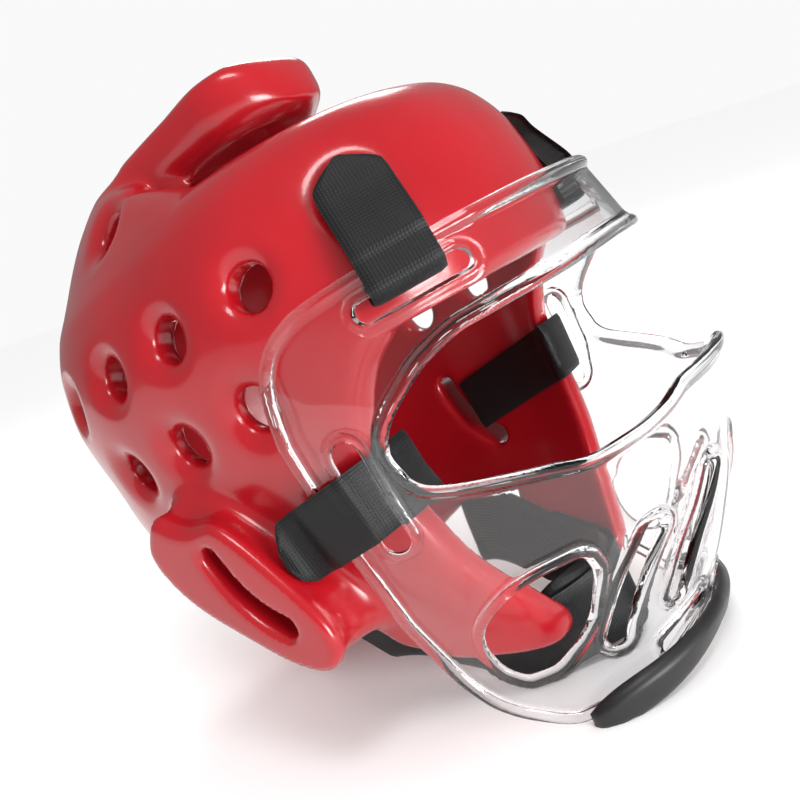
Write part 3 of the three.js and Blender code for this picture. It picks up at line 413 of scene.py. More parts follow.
def pad_gap(x, forward, z):
    """The gap cut round the pad's front end."""
    outline = np.vstack([pad_outline(PAD_GAP, PAD_ROOT), pad_outline(0, PAD_ROOT)[::-1]])
    plan = polygon_distance(x[:, :, 0], forward[:, :, 0], outline)[:, :, None]
    return np.maximum(plan, 0.6 * CROWN_HEIGHT - z)


def crown_pad(x, forward, z):
    """The pad on the crown, drawn in below its top and free of the shell at its front end."""
    top = pad_top((forward - PAD_TAIL) / (PAD_FRONT - PAD_TAIL))
    plan = polygon_distance(x[:, :, 0], forward[:, :, 0], pad_outline(0, PAD_TAIL))[:, :, None]
    under = smooth_step(top - z, 0.9 * PAD_GAP, 2.4 * PAD_GAP)
    pad = smooth_max(plan + 0.6 * PAD_GAP * under, z - top, PAD_ROUNDING)
    foot = (0.7 + 0.14 * smooth_step(forward, PAD_ROOT, PAD_ROOT + PAD_GAP)) * CROWN_HEIGHT
    return smooth_max(pad, foot - z, PAD_FOOT_ROUNDING)


def ear_place(y, z):
    """How far points lie ahead of the ear guard's middle and above it, along its lean."""
    lean = math.radians(EAR_LEAN)
    back, rise = y - EAR_SET_BACK, z - EAR_LEVEL
    ahead = rise * math.sin(lean) - back * math.cos(lean)
    return ahead, back * math.sin(lean) + rise * math.cos(lean)


def ear_guard(x, y, z):
    ahead, height = ear_place(y, z)
    widening = 1 + EAR_TAPER * height / np.maximum(np.hypot(ahead, height), 1e-6)
    across = np.abs(ahead / widening)
    reach = np.hypot(across, height)
    upright, level = np.abs(height) / np.maximum(reach, 1e-6), across / np.maximum(reach, 1e-6)
    limit = ((upright / ear_height(x)) ** SQUARENESS + (level / ear_width(x)) ** SQUARENESS) ** (-1 / SQUARENESS)
    ear = smooth_max(reach - limit, x - EAR_REACH, EAR_ROUNDING)
    return np.maximum(ear, 0.6 * EAR_REACH - x)


def ear_slot(x, y, z):
    """The bent slot down the ear guard, as wide as its rounded mouth leaves it."""
    ahead, height = ear_place(y, z)
    share = np.linspace(-1, 1, 15)
    half = (EAR_SLOT_LENGTH - EAR_SLOT_WIDTH) / 2
    aside = EAR_SLOT_AHEAD + math.tan(math.radians(EAR_SLOT_TURN)) * half * share
    middle = np.stack([aside - EAR_SLOT_BEND * (1 - share ** 2), share * half - EAR_SLOT_DROP], 1)
    line = np.vstack([middle, middle[::-1]])
    slot = np.abs(polygon_distance(ahead[0], height[0], line))[None] - 0.42 * EAR_SLOT_WIDTH
    return np.maximum(slot, 0.45 * EAR_REACH - x)


def cut_vents(whole, grid, low, pitch):
    """Cuts each flared vent out of its own block of the shell's field."""
    block_reach, flare_limit, flare_curve, flare_slope = 30, 2.2, 1.6, 0.72
    for turn, level in vent_places():
        out = normal_of(shell_radius, turn, level)
        place = surface_point(shell_radius, turn, level)
        first = np.maximum(np.floor((place - block_reach - low) / pitch).astype(int), 0)
        last = np.minimum(np.ceil((place + block_reach - low) / pitch).astype(int), whole.shape)
        block = tuple(slice(a, b) for a, b in zip(first, last))
        x, y, z = grid
        offsets = [c - p for c, p in zip((x[block[0]], y[:, block[1]], z[:, :, block[2]]), place)]
        deep = sum(offset * part for offset, part in zip(offsets, out))
        aside = np.sqrt(np.maximum(sum(offset ** 2 for offset in offsets) - deep ** 2, 0))
        open_by = np.maximum(deep + VENT_FLARE_DEPTH, 0) / VENT_FLARE_DEPTH
        mouth = VENT_RADIUS + (VENT_FLARE - VENT_RADIUS) * np.minimum(open_by, flare_limit) ** flare_curve
        slope = np.where(open_by > 0, flare_slope, 1)
        vent = np.maximum((aside - mouth) * slope, -deep - 2.2 * WALL)
        whole[block] = smooth_max(whole[block], -vent, VENT_ROUNDING)


def shell_piece(pitch):
    margin = 5
    low = np.array([0, -SHELL_FRONT - margin, -JAW_DEPTH], float)
    high = np.array([EAR_REACH + margin, SHELL_BACK + margin, CROWN_HEIGHT + margin], float)
    size = np.ceil((high - low) / pitch).astype(int) + 1
    x, y, z = np.meshgrid(*[low[i] + pitch * np.arange(size[i]) for i in range(3)], indexing="ij", sparse=True)
    forward = -y
    radius = np.hypot(x, y)
    angle = np.degrees(np.arctan2(x, forward))
    top = SHELL_SECTIONS[-1, 0] * CROWN_HEIGHT

    whole = smooth_max(evened(radius - shell_radius(angle, z), pitch), z - top, TOP_ROUNDING)
    whole = smooth_max(whole, -slope_cut(forward[0], z[0])[None], SLOPE_ROUNDING)
    whole = smooth_max(whole, -pad_gap(x, forward, z), PAD_GAP_ROUNDING)
    whole = smooth_min(whole, crown_pad(x, forward, z), PAD_JOIN)
    whole = smooth_min(whole, ear_guard(x, y, z), EAR_JOIN)
    hollow = evened(radius - hollow_radius(angle, z), pitch)
    hollow = smooth_max(hollow, z - top + CROWN_WALL, HOLLOW_ROUNDING)
    whole = smooth_max(whole, -hollow, EDGE_ROUNDING)
    whole = smooth_max(whole, -face_cut(forward[0], z[0])[None], EDGE_ROUNDING)
    whole = smooth_max(whole, -ear_slot(x, y, z), EAR_SLOT_ROUNDING)
    cut_vents(whole, (x, y, z), low, pitch)

    low[0] = -pitch * (size[0] - 1)
    points, quads, normals = net_of(mirrored(whole), low, pitch)
    return piece_of("shell_skin", points, quads, normals)


# ---------------------------------------------------------------- face shield
def closed_outline(middle, spread, top_at, bottom_at, count):
    share = np.linspace(-1, 1, count)
    upper = np.stack([middle + share * spread, top_at(share)], 1)
    lower = np.stack([middle + share * spread, bottom_at(share)], 1)
    return np.vstack([upper, lower[::-1]])


def shield_windows():
    """Closed outlines, in degrees and levels, of the shield and of its round openings."""
    outer = closed_outline(0, SHIELD_EDGE, lambda share: outline_top(np.abs(share)),
                           lambda share: outline_bottom(np.abs(share)), 121)
    eye = closed_outline(0, EYE_END, lambda share: eye_top(np.abs(share)),
                         lambda share: eye_bottom(np.abs(share)), 121)
    jaw = closed_outline(JAW_HOLE_ANGLE, JAW_HOLE_SPREAD, lambda share: JAW_HOLE_LEVEL + jaw_top(share),
                         lambda share: JAW_HOLE_LEVEL + jaw_bottom(share), 31)
    return outer, eye, jaw


def shield_slots():
    """Slots as middle lines, in degrees and levels, with a width."""
    scale = np.array([JAW_HOLE_ANGLE, SHIELD_BOTTOM])
    slots = [(scale * (a, b), scale * (c, d), width * MOUTH_SLOT_WIDTH) for a, b, c, d, width in MOUTH_SLOTS]
    per_degree = math.radians(1) * float(shield_radius(TEMPLE_SLOT_ANGLE, TEMPLE_SLOT_LEVEL))
    half = TEMPLE_SLOT_LENGTH / 2 / per_degree
    ends = [(TEMPLE_SLOT_ANGLE - half, TEMPLE_SLOT_LEVEL), (TEMPLE_SLOT_ANGLE + half, TEMPLE_SLOT_LEVEL)]
    slots.append((*ends, TEMPLE_SLOT_WIDTH))
    half = JAW_SLOT_LENGTH / 2
    ends = [(JAW_SLOT_ANGLE, JAW_SLOT_LEVEL - half), (JAW_SLOT_ANGLE, JAW_SLOT_LEVEL + half)]
    slots.append((*ends, JAW_SLOT_WIDTH))
    return slots


def edge_distance(angle, level, scale, outline, closed=True):
    """Distance in millimetres to an outline in degrees and levels, positive inside it."""
    best = np.full(angle.shape, 1e9)
    inside = np.zeros(angle.shape, bool)
    ends = np.roll(outline, -1, axis=0) if closed else outline[1:]
    for (ax, ay), (bx, by) in zip(outline, ends):
        px, py = (angle - ax) * scale[0], (level - ay) * scale[1]
        ex, ey = (bx - ax) * scale[0], (by - ay) * scale[1]
        t = np.clip((px * ex + py * ey) / np.maximum(ex * ex + ey * ey, 1e-9), 0, 1)
        best = np.minimum(best, (px - t * ex) ** 2 + (py - t * ey) ** 2)
        if closed and ay != by:
            inside ^= ((ay > level) != (by > level)) & (angle < ax + (level - ay) * (bx - ax) / (by - ay))
    return np.sqrt(best) * np.where(inside, 1, -1)


def shield_slopes(turn, level):
    """The shield's radius, and how it grows with the turn, in radians, and with the level."""
    step = 0.5
    per_turn = (shield_radius(turn + step, level) - shield_radius(turn - step, level)) / (2 * math.radians(step))
    per_level = (shield_radius(turn, level + step) - shield_radius(turn, level - step)) / (2 * step)
    return shield_radius(turn, level), per_turn, per_level


def shield_edges(turn, level, slopes):
    """Distance from the nearest edge into the plate, and from each edge with its bead's half width."""
    radius, per_turn, per_level = slopes
    scale = (np.radians(1) * np.hypot(radius, per_turn), np.sqrt(1 + per_level ** 2))
    outer, eye, jaw = shield_windows()
    half = SHIELD_RIM / 2
    edges = [(edge_distance(turn, level, scale, outer), half),
             (-edge_distance(turn, level, scale, eye), half),
             (-edge_distance(turn, level, scale, jaw), 0.85 * half)]
    for a, b, width in shield_slots():
        gap = np.abs(edge_distance(turn, level, scale, np.array([a, b]), closed=False)) - width / 2
        edges.append((gap, 0.75 * half))
    return np.min([edge for edge, _ in edges], axis=0), edges


def shield_field(points):
    """Distance from the shield's plate with its beads along every edge."""
    turn = np.abs(np.degrees(np.arctan2(points[:, 0], -points[:, 1])))
    level = points[:, 2]
    slopes = shield_slopes(turn, level)
    radius, per_turn, per_level = slopes
    slant = np.sqrt(1 + (per_turn / radius) ** 2 + per_level ** 2)
    depth = (np.hypot(points[:, 0], points[:, 1]) - radius) / slant
    material, edges = shield_edges(turn, level, slopes)
    whole = smooth_max(np.abs(depth) - SHIELD_PLATE / 2, PLATE_ROUNDING - material, PLATE_ROUNDING)
    for edge, half in edges:
        bead = np.hypot(edge - half, depth - (SHIELD_RIM - SHIELD_PLATE) / SHIELD_RIM * half) - half
        whole = smooth_min(whole, bead, BEAD_JOIN)
    return np.maximum(whole, -EDGE_TRIM - material)


def shield_piece(pitch):
    margin, rear = 6, -24
    near_enough, far_off = 8.0, 10.0
    low = np.array([0, -SHIELD_FRONT - margin, -SHIELD_BOTTOM - margin], float)
    high = np.array([SHIELD_SIDE + margin, rear, SHIELD_TOP + margin], float)
    size = np.ceil((high - low) / pitch).astype(int) + 1
    grid = np.stack(np.meshgrid(*[low[i] + pitch * np.arange(size[i]) for i in range(3)], indexing="ij"), -1)
    turn = np.degrees(np.arctan2(grid[..., 0], -grid[..., 1]))
    depth = np.hypot(grid[..., 0], grid[..., 1]) - shield_radius(turn, grid[..., 2])
    field = np.full(depth.shape, far_off)
    near = np.abs(evened(depth, pitch)) < near_enough
    field[near] = shield_field(grid[near])
    low[0] = -pitch * (size[0] - 1)
    points, quads, _ = net_of(mirrored(field), low, pitch)
    # The points move on to the exact surface, with normals from four samples round each
    spacing, longest_move = 0.2, 0.3
    for _ in range(2):
        normals, value = 0, 0
        for corner in np.array([(1, -1, -1), (-1, -1, 1), (-1, 1, -1), (1, 1, 1)]):
            sample = shield_field(points + spacing * corner)
            normals = normals + sample[:, None] * corner
            value = value + sample / 4
        normals = unit(normals + 1e-9)
        points = points - normals * np.clip(value, -longest_move, longest_move)[:, None]
    return piece_of("shield_skin", points, quads, normals)


# ---------------------------------------------------------------- webbing
def reach_to(radius_at, start, direction):
    near, beyond = 0.0, 2.0 * SHELL_FRONT
    for _ in range(30):
        reach = (near + beyond) / 2
        at = start + direction * reach
        inside = math.hypot(at[0], at[1]) < radius_at(math.degrees(math.atan2(at[0], -at[1])), at[2])
        near, beyond = (reach, beyond) if inside else (near, reach)
    return near


def band_reach(pick, radius_at, start, direction, across):
    return pick(reach_to(radius_at, start + across * share, direction) for share in (-0.5, -0.25, 0, 0.25, 0.5))


def path_through(points, steps):
    """Places and directions along a smooth path, as three.js makes its centripetal curve."""
    p = np.array(points, float)
    count = len(p) - 1
    nudge = 1e-4

    def at(t):
        scaled = min(t * count, count - 1e-9)
        i = int(scaled)
        w = scaled - i
        p0 = p[i - 1] if i > 0 else 2 * p[0] - p[1]
        p3 = p[i + 2] if i + 2 <= count else 2 * p[count] - p[count - 1]
        p1, p2 = p[i], p[i + 1]
        d0, d1, d2 = [max(np.sum((b - a) ** 2) ** 0.25, 1e-4) for a, b in ((p0, p1), (p1, p2), (p2, p3))]
        t1 = ((p1 - p0) / d0 - (p2 - p0) / (d0 + d1) + (p2 - p1) / d1) * d1
        t2 = ((p2 - p1) / d1 - (p3 - p1) / (d1 + d2) + (p3 - p2) / d2) * d1
        return p1 + t1 * w + (-3 * p1 + 3 * p2 - 2 * t1 - t2) * w * w + (2 * p1 - 2 * p2 + t1 + t2) * w ** 3

    shares = np.linspace(0, 1, steps + 1)
    directions = [unit(at(min(t + nudge, 1)) - at(max(t - nudge, 0))) for t in shares]
    return np.array([at(t) for t in shares]), np.array(directions)


def sheet_faces(rows, cols):
    """Quads of a closed sheet: one face's grid of points, the other's after it, and its border."""
    n = rows * cols
    faces = []
    for i in range(rows - 1):
        for j in range(cols - 1):
            a, b, c, d = i * cols + j, i * cols + j + 1, (i + 1) * cols + j + 1, (i + 1) * cols + j
            faces += [(a, b, c, d), (n + d, n + c, n + b, n + a)]
    border = [j for j in range(cols - 1)] + [i * cols + cols - 1 for i in range(rows - 1)]
    border += [(rows - 1) * cols + j for j in range(cols - 1, 0, -1)] + [i * cols for i in range(rows - 1, 0, -1)]
    return faces + [(b, a, n + a, n + b) for a, b in zip(border, border[1:] + border[:1])]


def rounded(share, power, least):
    """1 in the middle of a width and least at its ends, at shares from -1 to 1."""
    return np.sqrt(np.clip(1 - np.abs(share) ** power, 0, 1)) * (1 - least) + least


def band_piece(name, middle, normals, widths, thickness):
    """A band from its grid of middle points, with rounded edges."""
    rows, cols = middle.shape[:2]
    lift = normals * (thickness / 2 * rounded(np.linspace(-1, 1, cols), 10, 0.1))[None, :, None]
    points = np.vstack([(middle + lift).reshape(-1, 3), (middle - lift).reshape(-1, 3)])
    steps = np.linalg.norm(np.diff(middle[:, cols // 2], axis=0), axis=1)
    lengths = np.broadcast_to(np.concatenate([[0], np.cumsum(steps)])[:, None], (rows, cols))
    uv = np.stack([lengths, widths], -1).reshape(-1, 2) / 1000
    obj = piece_of(name, points, sheet_faces(rows, cols), uv=np.vstack([uv, uv]))
    obj.data.set_sharp_from_angle(angle=math.radians(50))
    return obj


def ribbon_piece(name, stations, across, steps=110, cols=13):
    at, along = path_through([s[0] for s in stations], steps)
    width_at = curve_through(np.linspace(0, 1, len(stations)), np.array([s[1] for s in stations], float))
    widths = width_at(np.linspace(0, 1, steps + 1))[:, None] * np.linspace(-0.5, 0.5, cols)
    aside = unit(across - along * (along @ across)[:, None])
    middle = at[:, None] + aside[:, None] * widths[..., None]
    normals = np.broadcast_to(np.cross(along, aside)[:, None], middle.shape)
    return band_piece(name, middle, normals, widths, STRAP_THICKNESS)


def jaw_strap(side):
    half = STRAP_THICKNESS / 2
    turn = side * JAW_SLOT_ANGLE
    slot = surface_point(shield_radius, turn, JAW_SLOT_LEVEL)
    across = (surface_point(shield_radius, turn, JAW_SLOT_LEVEL + STRAP_WIDTH / 2)
              - surface_point(shield_radius, turn, JAW_SLOT_LEVEL - STRAP_WIDTH / 2))
    across = unit(across * [1, 0, 1])
    out = np.array([side, 0.0, 0.0])
    width = across * STRAP_WIDTH

    def level_at(forward):
        return JAW_SLOT_LEVEL + (forward + slot[1]) * math.tan(math.radians(JAW_STRAP_PITCH))

    def station(forward, reach, share=1.0):
        return np.array([side * reach, -forward, level_at(forward)]), share * STRAP_WIDTH

    def along(pick, radius_at, forward, offset):
        start = np.array([0.0, -forward, level_at(forward)])
        return station(forward, band_reach(pick, radius_at, start, out, width) + offset)

    over = SHIELD_RIM - SHIELD_PLATE / 2 + CLEARANCE + half
    rear = point_at(shield_radius(SHIELD_EDGE, 0.0), SHIELD_EDGE, 0.0)
    flank = EAR_HALF_WIDTH * EAR_FLANK_BULGE / math.cos(math.radians(EAR_LEAN)) - EAR_SET_BACK
    flank += 2 * STRAP_THICKNESS
    edge = CHEEK_REACH + 2 * STRAP_THICKNESS
    reach = side * slot[0]

    def outside(forward):
        return along(max, shield_radius, forward, over)

    def inside(forward):
        return along(min, hollow_radius, forward, -STRAP_THICKNESS - half)

    stations = [
        station(flank, 0.955 * EAR_REACH, 0.3),
        station(flank + 0.4, 0.925 * EAR_REACH, 0.78),
        station(flank + 2.5, 0.895 * EAR_REACH),
        station(flank + 8, 0.875 * EAR_REACH),
        outside(-rear[1] - STRAP_THICKNESS),
        outside(-rear[1] + 4 * STRAP_THICKNESS),
        outside(-slot[1] - 6 * STRAP_THICKNESS),
        outside(-slot[1] - 2.4 * STRAP_THICKNESS),
        station(-slot[1] - 0.6 * STRAP_THICKNESS, reach),
        station(-slot[1] + 0.8 * STRAP_THICKNESS, reach - 2.5 * STRAP_THICKNESS),
        station(edge + 0.3 * STRAP_THICKNESS, reach - 0.7 * WALL),
        inside(edge),
        inside(CHEEK_REACH - 4 * STRAP_THICKNESS),
        inside(0.6 * CHEEK_REACH),
        inside(0.35 * CHEEK_REACH),
        inside(CHEEK_REACH - JAW_STRAP_RUN),
    ]
    return stations, across


def temple_strap(side):
    half = STRAP_THICKNESS / 2
    turn = side * TEMPLE_SLOT_ANGLE
    slot = surface_point(shield_radius, turn, TEMPLE_SLOT_LEVEL)
    out = normal_of(shield_radius, turn, TEMPLE_SLOT_LEVEL) + normal_of(shell_radius, turn, TEMPLE_SLOT_LEVEL)
    out = unit(out * [1, 1, 0])
    across = np.cross([0, 0, 1], out) * side
    middle = slot - out * 2 * WALL
    strands = across * STRAP_WIDTH

    def station(reach, level, share=1.0):
        at = middle + out * reach
        at[2] = level
        return at, share * STRAP_WIDTH

    def to(radius_at, level):
        return band_reach(max, radius_at, np.array([middle[0], middle[1], level]), out, strands)

    def on_shell(level, lift, share=1.0):
        return station(to(shell_radius, level) + 2 * CLEARANCE + half + lift, level, share)

    def on_shield(level):
        over = SHIELD_RIM - SHIELD_PLATE / 2 + 3 * CLEARANCE + half
        return station(to(shield_radius, min(level, SHIELD_TOP)) + over, level)

    tip = STRAP_VENT_LEVEL + TONGUE_HEIGHT
    lift = 2.2 * STRAP_THICKNESS
    stations = [
        on_shell(tip, lift, 0.1),
        on_shell(tip - 0.3 * TONGUE_HEIGHT, lift, 0.62),
        on_shell(tip - 0.62 * TONGUE_HEIGHT, lift, 0.95),
        on_shell(STRAP_VENT_LEVEL, lift),
        on_shield(SHIELD_TOP + 0.3 * TONGUE_HEIGHT),
        on_shield(SHIELD_TOP),
        on_shield(TEMPLE_SLOT_LEVEL + 2.6 * STRAP_THICKNESS),
        station(to(shield_radius, TEMPLE_SLOT_LEVEL), TEMPLE_SLOT_LEVEL + 0.2 * STRAP_THICKNESS),
        on_shell(TEMPLE_SLOT_LEVEL + 1.5 * STRAP_THICKNESS, 0),
        on_shell(SHIELD_TOP, 0, 0.84),
        on_shell(STRAP_VENT_LEVEL - 1.15 * VENT_FLARE, 0, 0.6),
        station(to(shell_radius, STRAP_VENT_LEVEL), STRAP_VENT_LEVEL - 0.5 * VENT_RADIUS, 0.4),
        station(to(shell_radius, STRAP_VENT_LEVEL) - WALL, STRAP_VENT_LEVEL - 0.2 * VENT_RADIUS, 0.38),
    ]
    return stations, across


# ---------------------------------------------------------------- chin strap, cup and pad
def chin_radius(angle, level):
    turned = np.abs(angle)
    flaps = hollow_radius(angle, level) - 3 * CLEARANCE - 0.65 * CHIN_STRAP_THICKNESS
    front = oval_radius(angle, CHIN_REACH, CHIN_HALF_WIDTH, 2)
    share = smooth_step(turned, 0, CHIN_TURN_ANGLE)
    return front + (flaps - front) * share


def chin_level(angle):
    share = smooth_step(np.abs(angle), CHIN_RISE_ANGLE, CHIN_STRAP_ANGLE)
    return CHIN_STRAP_LEVEL + share * (CHIN_STRAP_END_LEVEL - CHIN_STRAP_LEVEL)


def chin_band(name, reach, width_at, offset, thickness, rows=90, cols=13):
    angles = np.linspace(-reach, reach, rows)
    widths = width_at(angles)[:, None] * np.linspace(-0.5, 0.5, cols)
    level = chin_level(angles)[:, None] + widths
    turn = np.broadcast_to(angles[:, None], level.shape)
    normals = normal_of(chin_radius, turn, level)
    middle = surface_point(chin_radius, turn, level) + normals * offset
    return band_piece(name, middle, normals, widths, thickness)


def cup_width(angle):
    return CHIN_STRAP_WIDTH * (CHIN_CUP_WIDTH - CHIN_CUP_NARROWING * (angle / CHIN_CUP_ANGLE) ** 4)


def chin_pad_piece():
    gap = SHIELD_RIM - SHIELD_PLATE / 2 + CLEARANCE
    rows, cols, floor_gap = 73, 9, 0.05
    angles = np.linspace(-CHIN_PAD_ANGLE, CHIN_PAD_ANGLE, rows)
    share = np.abs(angles) / CHIN_PAD_ANGLE
    rim = outline_bottom(np.abs(angles) / SHIELD_EDGE)
    lows = rim - CHIN_PAD_HEIGHT * (0.08 + 0.3 * share ** 2)
    highs = rim + CHIN_PAD_HEIGHT * (0.75 - 0.45 * share ** 6)
    level = lows[:, None] + (highs - lows)[:, None] * np.linspace(0, 1, cols)
    turn = np.broadcast_to(angles[:, None], level.shape)
    inner = surface_point(shield_radius, turn, level, gap)
    outward = normal_of(shield_radius, turn, level)
    thickness = CHIN_PAD_THICKNESS * rounded(np.linspace(-1, 1, cols), 4, 0.25) * rounded(share, 12, 0.25)[:, None]
    outer = inner + outward * thickness[..., None]
    for grid in (inner, outer):
        grid[..., 2] = np.maximum(grid[..., 2], rest_level(-grid[..., 1]) + floor_gap)
    points = np.vstack([inner.reshape(-1, 3), outer.reshape(-1, 3)])
    return piece_of("chin_pad_rubber", points, sheet_faces(rows, cols))


# ---------------------------------------------------------------- materials
def new_material(name, base, roughness):
    material = bpy.data.materials.new(name)
    material.use_nodes = True
    nodes, links = material.node_tree.nodes, material.node_tree.links
    shader = nodes["Principled BSDF"]
    shader.inputs["Base Color"].default_value = (*base, 1)
    shader.inputs["Roughness"].default_value = roughness
    return material, nodes, links, shader


def noise(nodes, links, scale, detail=3.0):
    place = nodes.new("ShaderNodeTexCoord")
    texture = nodes.new("ShaderNodeTexNoise")
    texture.inputs["Scale"].default_value = scale
    texture.inputs["Detail"].default_value = detail
    links.new(place.outputs["Object"], texture.inputs["Vector"])
    return texture.outputs["Fac"]


def ramp(nodes, links, value, stops):
    node = nodes.new("ShaderNodeValToRGB")
    elements = node.color_ramp.elements
    for element, (place, colour) in zip(elements, stops):
        element.position = place
        element.color = (*colour, 1)
    links.new(value, node.inputs["Fac"])
    return node.outputs["Color"]


def spread(nodes, links, value, low, high):
    node = nodes.new("ShaderNodeMapRange")
    node.inputs["To Min"].default_value = low
    node.inputs["To Max"].default_value = high
    links.new(value, node.inputs["Value"])
    return node.outputs["Result"]


def bump(nodes, links, height, strength, distance, shader, base=None):
    node = nodes.new("ShaderNodeBump")
    node.inputs["Strength"].default_value = strength
    node.inputs["Distance"].default_value = distance
    links.new(height, node.inputs["Height"])
    if base is not None:
        links.new(base, node.inputs["Normal"])
    links.new(node.outputs["Normal"], shader.inputs["Normal"])
    return node.outputs["Normal"]


def red_foam():
    material, nodes, links, shader = new_material("red_dipped_foam", (0.5, 0.007, 0.016), 0.2)
    shader.inputs["Specular IOR Level"].default_value = 0.5
    shader.inputs["Coat Weight"].default_value = 0.25
    shader.inputs["Coat Roughness"].default_value = 0.1
    patches = noise(nodes, links, 14.0)
    links.new(ramp(nodes, links, patches, [(0.3, (0.31, 0.004, 0.009)), (0.72, (0.39, 0.006, 0.012))]),
              shader.inputs["Base Color"])
    links.new(spread(nodes, links, noise(nodes, links, 60.0), 0.16, 0.28), shader.inputs["Roughness"])
    soft = bump(nodes, links, noise(nodes, links, 22.0, 1.0), 0.12, 0.004, shader)
    bump(nodes, links, noise(nodes, links, 900.0, 2.0), 0.06, 0.0004, shader, soft)
    return material


def clear_plastic():
    material, nodes, links, shader = new_material("clear_plastic", (0.965, 0.975, 0.98), 0.03)
    shader.inputs["Transmission Weight"].default_value = 1.0
    shader.inputs["IOR"].default_value = 1.5
    links.new(spread(nodes, links, noise(nodes, links, 35.0), 0.015, 0.05), shader.inputs["Roughness"])
    ray = nodes.new("ShaderNodeLightPath")
    passing = nodes.new("ShaderNodeMath")
    passing.operation = "MAXIMUM"
    links.new(ray.outputs["Is Shadow Ray"], passing.inputs[0])
    links.new(ray.outputs["Is Diffuse Ray"], passing.inputs[1])
    links.new(spread(nodes, links, passing.outputs["Value"], 1.0, 0.1), shader.inputs["Alpha"])
    bump(nodes, links, noise(nodes, links, 18.0, 1.0), 0.05, 0.004, shader)
    return material


def weave(name, base, ribs, sheen):
    material, nodes, links, shader = new_material(name, base, 0.55)
    shader.inputs["Sheen Weight"].default_value = sheen
    shader.inputs["Sheen Roughness"].default_value = 0.4
    shader.inputs["Specular IOR Level"].default_value = 0.35
    place = nodes.new("ShaderNodeTexCoord")
    waves = []
    for direction in "XY":
        wave = nodes.new("ShaderNodeTexWave")
        wave.bands_direction = direction
        wave.inputs["Scale"].default_value = ribs
        wave.inputs["Distortion"].default_value = 0.6
        wave.inputs["Detail"].default_value = 1.0
        links.new(place.outputs["UV"], wave.inputs["Vector"])
        waves.append(wave.outputs["Fac"])
    mix = nodes.new("ShaderNodeMath")
    mix.operation = "MULTIPLY"
    links.new(waves[0], mix.inputs[0])
    links.new(waves[1], mix.inputs[1])
    dark, light = [tuple(share * c for c in base) for share in (0.6, 1.5)]
    links.new(ramp(nodes, links, mix.outputs["Value"], [(0.1, dark), (0.8, light)]), shader.inputs["Base Color"])
    links.new(spread(nodes, links, noise(nodes, links, 40.0), 0.42, 0.62), shader.inputs["Roughness"])
    bump(nodes, links, mix.outputs["Value"], 0.35, 0.0003, shader)
    return material


def moulded(name, base, roughness):
    material, nodes, links, shader = new_material(name, base, roughness)
    links.new(ramp(nodes, links, noise(nodes, links, 50.0), [(0.3, base), (0.7, tuple(1.5 * c for c in base))]),
              shader.inputs["Base Color"])
    links.new(spread(nodes, links, noise(nodes, links, 120.0), roughness - 0.06, roughness + 0.08),
              shader.inputs["Roughness"])
    bump(nodes, links, noise(nodes, links, 1500.0, 2.0), 0.15, 0.0002, shader)
    return material


def dress(obj, material, node):
    obj.data.materials.clear()
    obj.data.materials.append(material)
    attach(obj, "root")
    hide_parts(node)
    return obj


foam = red_foam()
plastic = clear_plastic()
webbing = weave("black_webbing", (0.0035, 0.0037, 0.0045), 260.0, 0.03)
padding = weave("black_padding", (0.004, 0.004, 0.0045), 180.0, 0.03)
rubber = moulded("black_rubber", (0.009, 0.009, 0.01), 0.42)

pitch = 2.0
fine = 1.15
shell = dress(shell_piece(pitch), foam, "shell")
dress(shield_piece(fine), plastic, "face_shield")
for word, sign in (("right", -1), ("left", 1)):
    stations, across = temple_strap(sign)
    dress(ribbon_piece(f"temple_webbing_{word}", stations, across), webbing, f"temple_strap_{word}")
    stations, across = jaw_strap(sign)
    dress(ribbon_piece(f"jaw_webbing_{word}", stations, across), webbing, f"jaw_strap_{word}")
chin_strap = chin_band("chin_webbing", CHIN_STRAP_ANGLE, lambda angle: np.full(angle.shape, CHIN_STRAP_WIDTH),
                       0.0, CHIN_STRAP_THICKNESS)
dress(chin_strap, webbing, "chin_strap")
cup_offset = -CHIN_STRAP_THICKNESS / 2 - 3 * CLEARANCE - CHIN_CUP_THICKNESS / 2
cup = chin_band("chin_cup_padding", CHIN_CUP_ANGLE, cup_width, cup_offset, CHIN_CUP_THICKNESS)
dress(cup, padding, "chin_cup")
dress(chin_pad_piece(), rubber, "chin_pad")

# ---------------------------------------------------------------- floor, light and camera
FLOOR_REACH = 6
floor_corners = [(x * FLOOR_REACH, y * FLOOR_REACH, 0) for x, y in ((-1, -1), (1, -1), (1, 1), (-1, 1))]
floor_mesh = bpy.data.meshes.new("floor")
floor_mesh.from_pydata(floor_corners, [], [(0, 1, 2, 3)])
floor = bpy.data.objects.new("floor", floor_mesh)
bpy.context.scene.collection.objects.link(floor)
pale, _, _, pale_shader = new_material("pale_floor", (0.97, 0.97, 0.97), 0.9)
pale_shader.inputs["Specular IOR Level"].default_value = 0.0
floor_mesh.materials.append(pale)

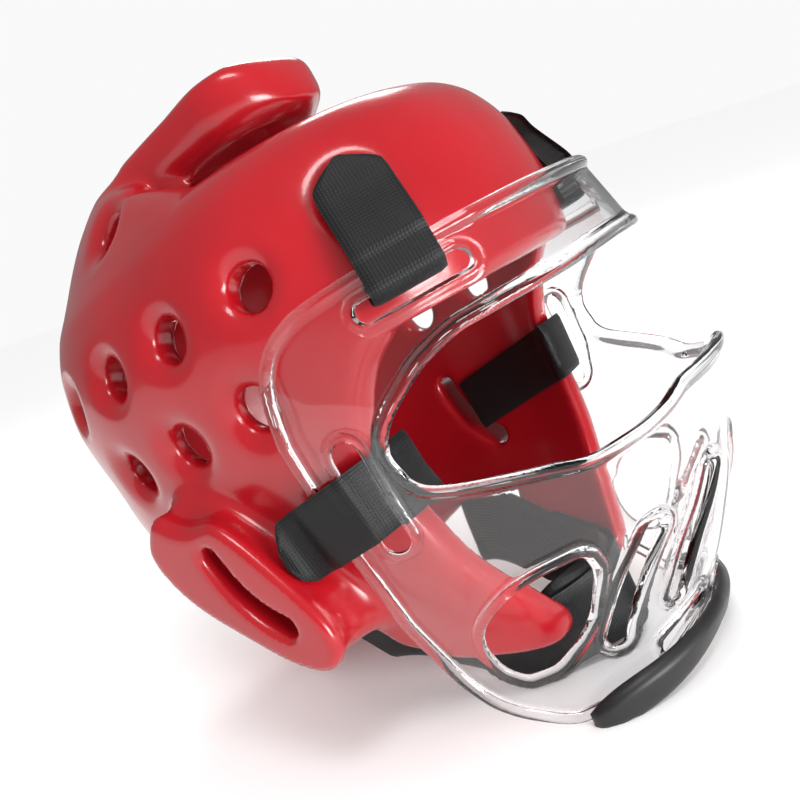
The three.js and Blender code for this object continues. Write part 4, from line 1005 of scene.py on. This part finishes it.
world = bpy.data.worlds.new("studio")
world.use_nodes = True
world_nodes, world_links = world.node_tree.nodes, world.node_tree.links
world_nodes["Background"].inputs["Color"].default_value = (1, 1, 1, 1)
ray = world_nodes.new("ShaderNodeLightPath")
strength = world_nodes.new("ShaderNodeMapRange")  # dimmer in reflections, so that the gloss keeps its contrast
strength.inputs["To Min"].default_value = 0.95
strength.inputs["To Max"].default_value = 0.28
world_links.new(ray.outputs["Is Glossy Ray"], strength.inputs["Value"])
world_links.new(strength.outputs["Result"], world_nodes["Background"].inputs["Strength"])
bpy.context.scene.world = world
bpy.context.scene.view_settings.view_transform = "Standard"


def softbox(name, place, target, size, power):
    light = bpy.data.lights.new(name, "AREA")
    light.shape = "RECTANGLE"
    light.size, light.size_y = size
    light.energy = power
    obj = bpy.data.objects.new(name, light)
    obj.location = place
    obj.rotation_euler = (Vector(target) - Vector(place)).to_track_quat("-Z", "Y").to_euler()
    bpy.context.scene.collection.objects.link(obj)


CENTRE = (0.0, 0.0, 0.13)
softbox("key", (-0.45, -0.5, 1.25), CENTRE, (0.45, 0.3), 5.0)
softbox("rim", (0.9, 0.5, 0.9), CENTRE, (0.4, 0.3), 3.0)
softbox("front", (-0.4, -1.2, 0.2), CENTRE, (0.5, 0.5), 15.0)

# The camera, in the helmet's own frame and in millimetres
CAMERA_AT = Vector((-302.0, -262.1, 49.4))
CAMERA_RIGHT = Vector((0.6508, -0.7453, 0.1449))
CAMERA_UP = Vector((0.0, 0.1908, 0.9816))
CAMERA_ROLL_COS, CAMERA_ROLL_SIN = 0.788, 0.6157
CAMERA_LENS, CAMERA_SHIFT = 39.87, (-0.00125, 0.0575)
right = (CAMERA_RIGHT * CAMERA_ROLL_COS - CAMERA_UP * CAMERA_ROLL_SIN).normalized()
upward = (CAMERA_RIGHT * CAMERA_ROLL_SIN + CAMERA_UP * CAMERA_ROLL_COS).normalized()
backward = right.cross(upward).normalized()
upward = backward.cross(right)
turned = Matrix((right, upward, backward)).transposed().to_4x4()
turned.translation = CAMERA_AT
matrix = TO_PART @ turned
matrix.translation = matrix.translation / 1000
camera_data = bpy.data.cameras.new("camera")
camera_data.lens = CAMERA_LENS
camera_data.sensor_width = 36.0
camera_data.shift_x, camera_data.shift_y = CAMERA_SHIFT
camera_data.clip_start = 0.02
camera = bpy.data.objects.new("camera", camera_data)
camera.matrix_world = matrix
bpy.context.scene.collection.objects.link(camera)
bpy.context.scene.camera = camera
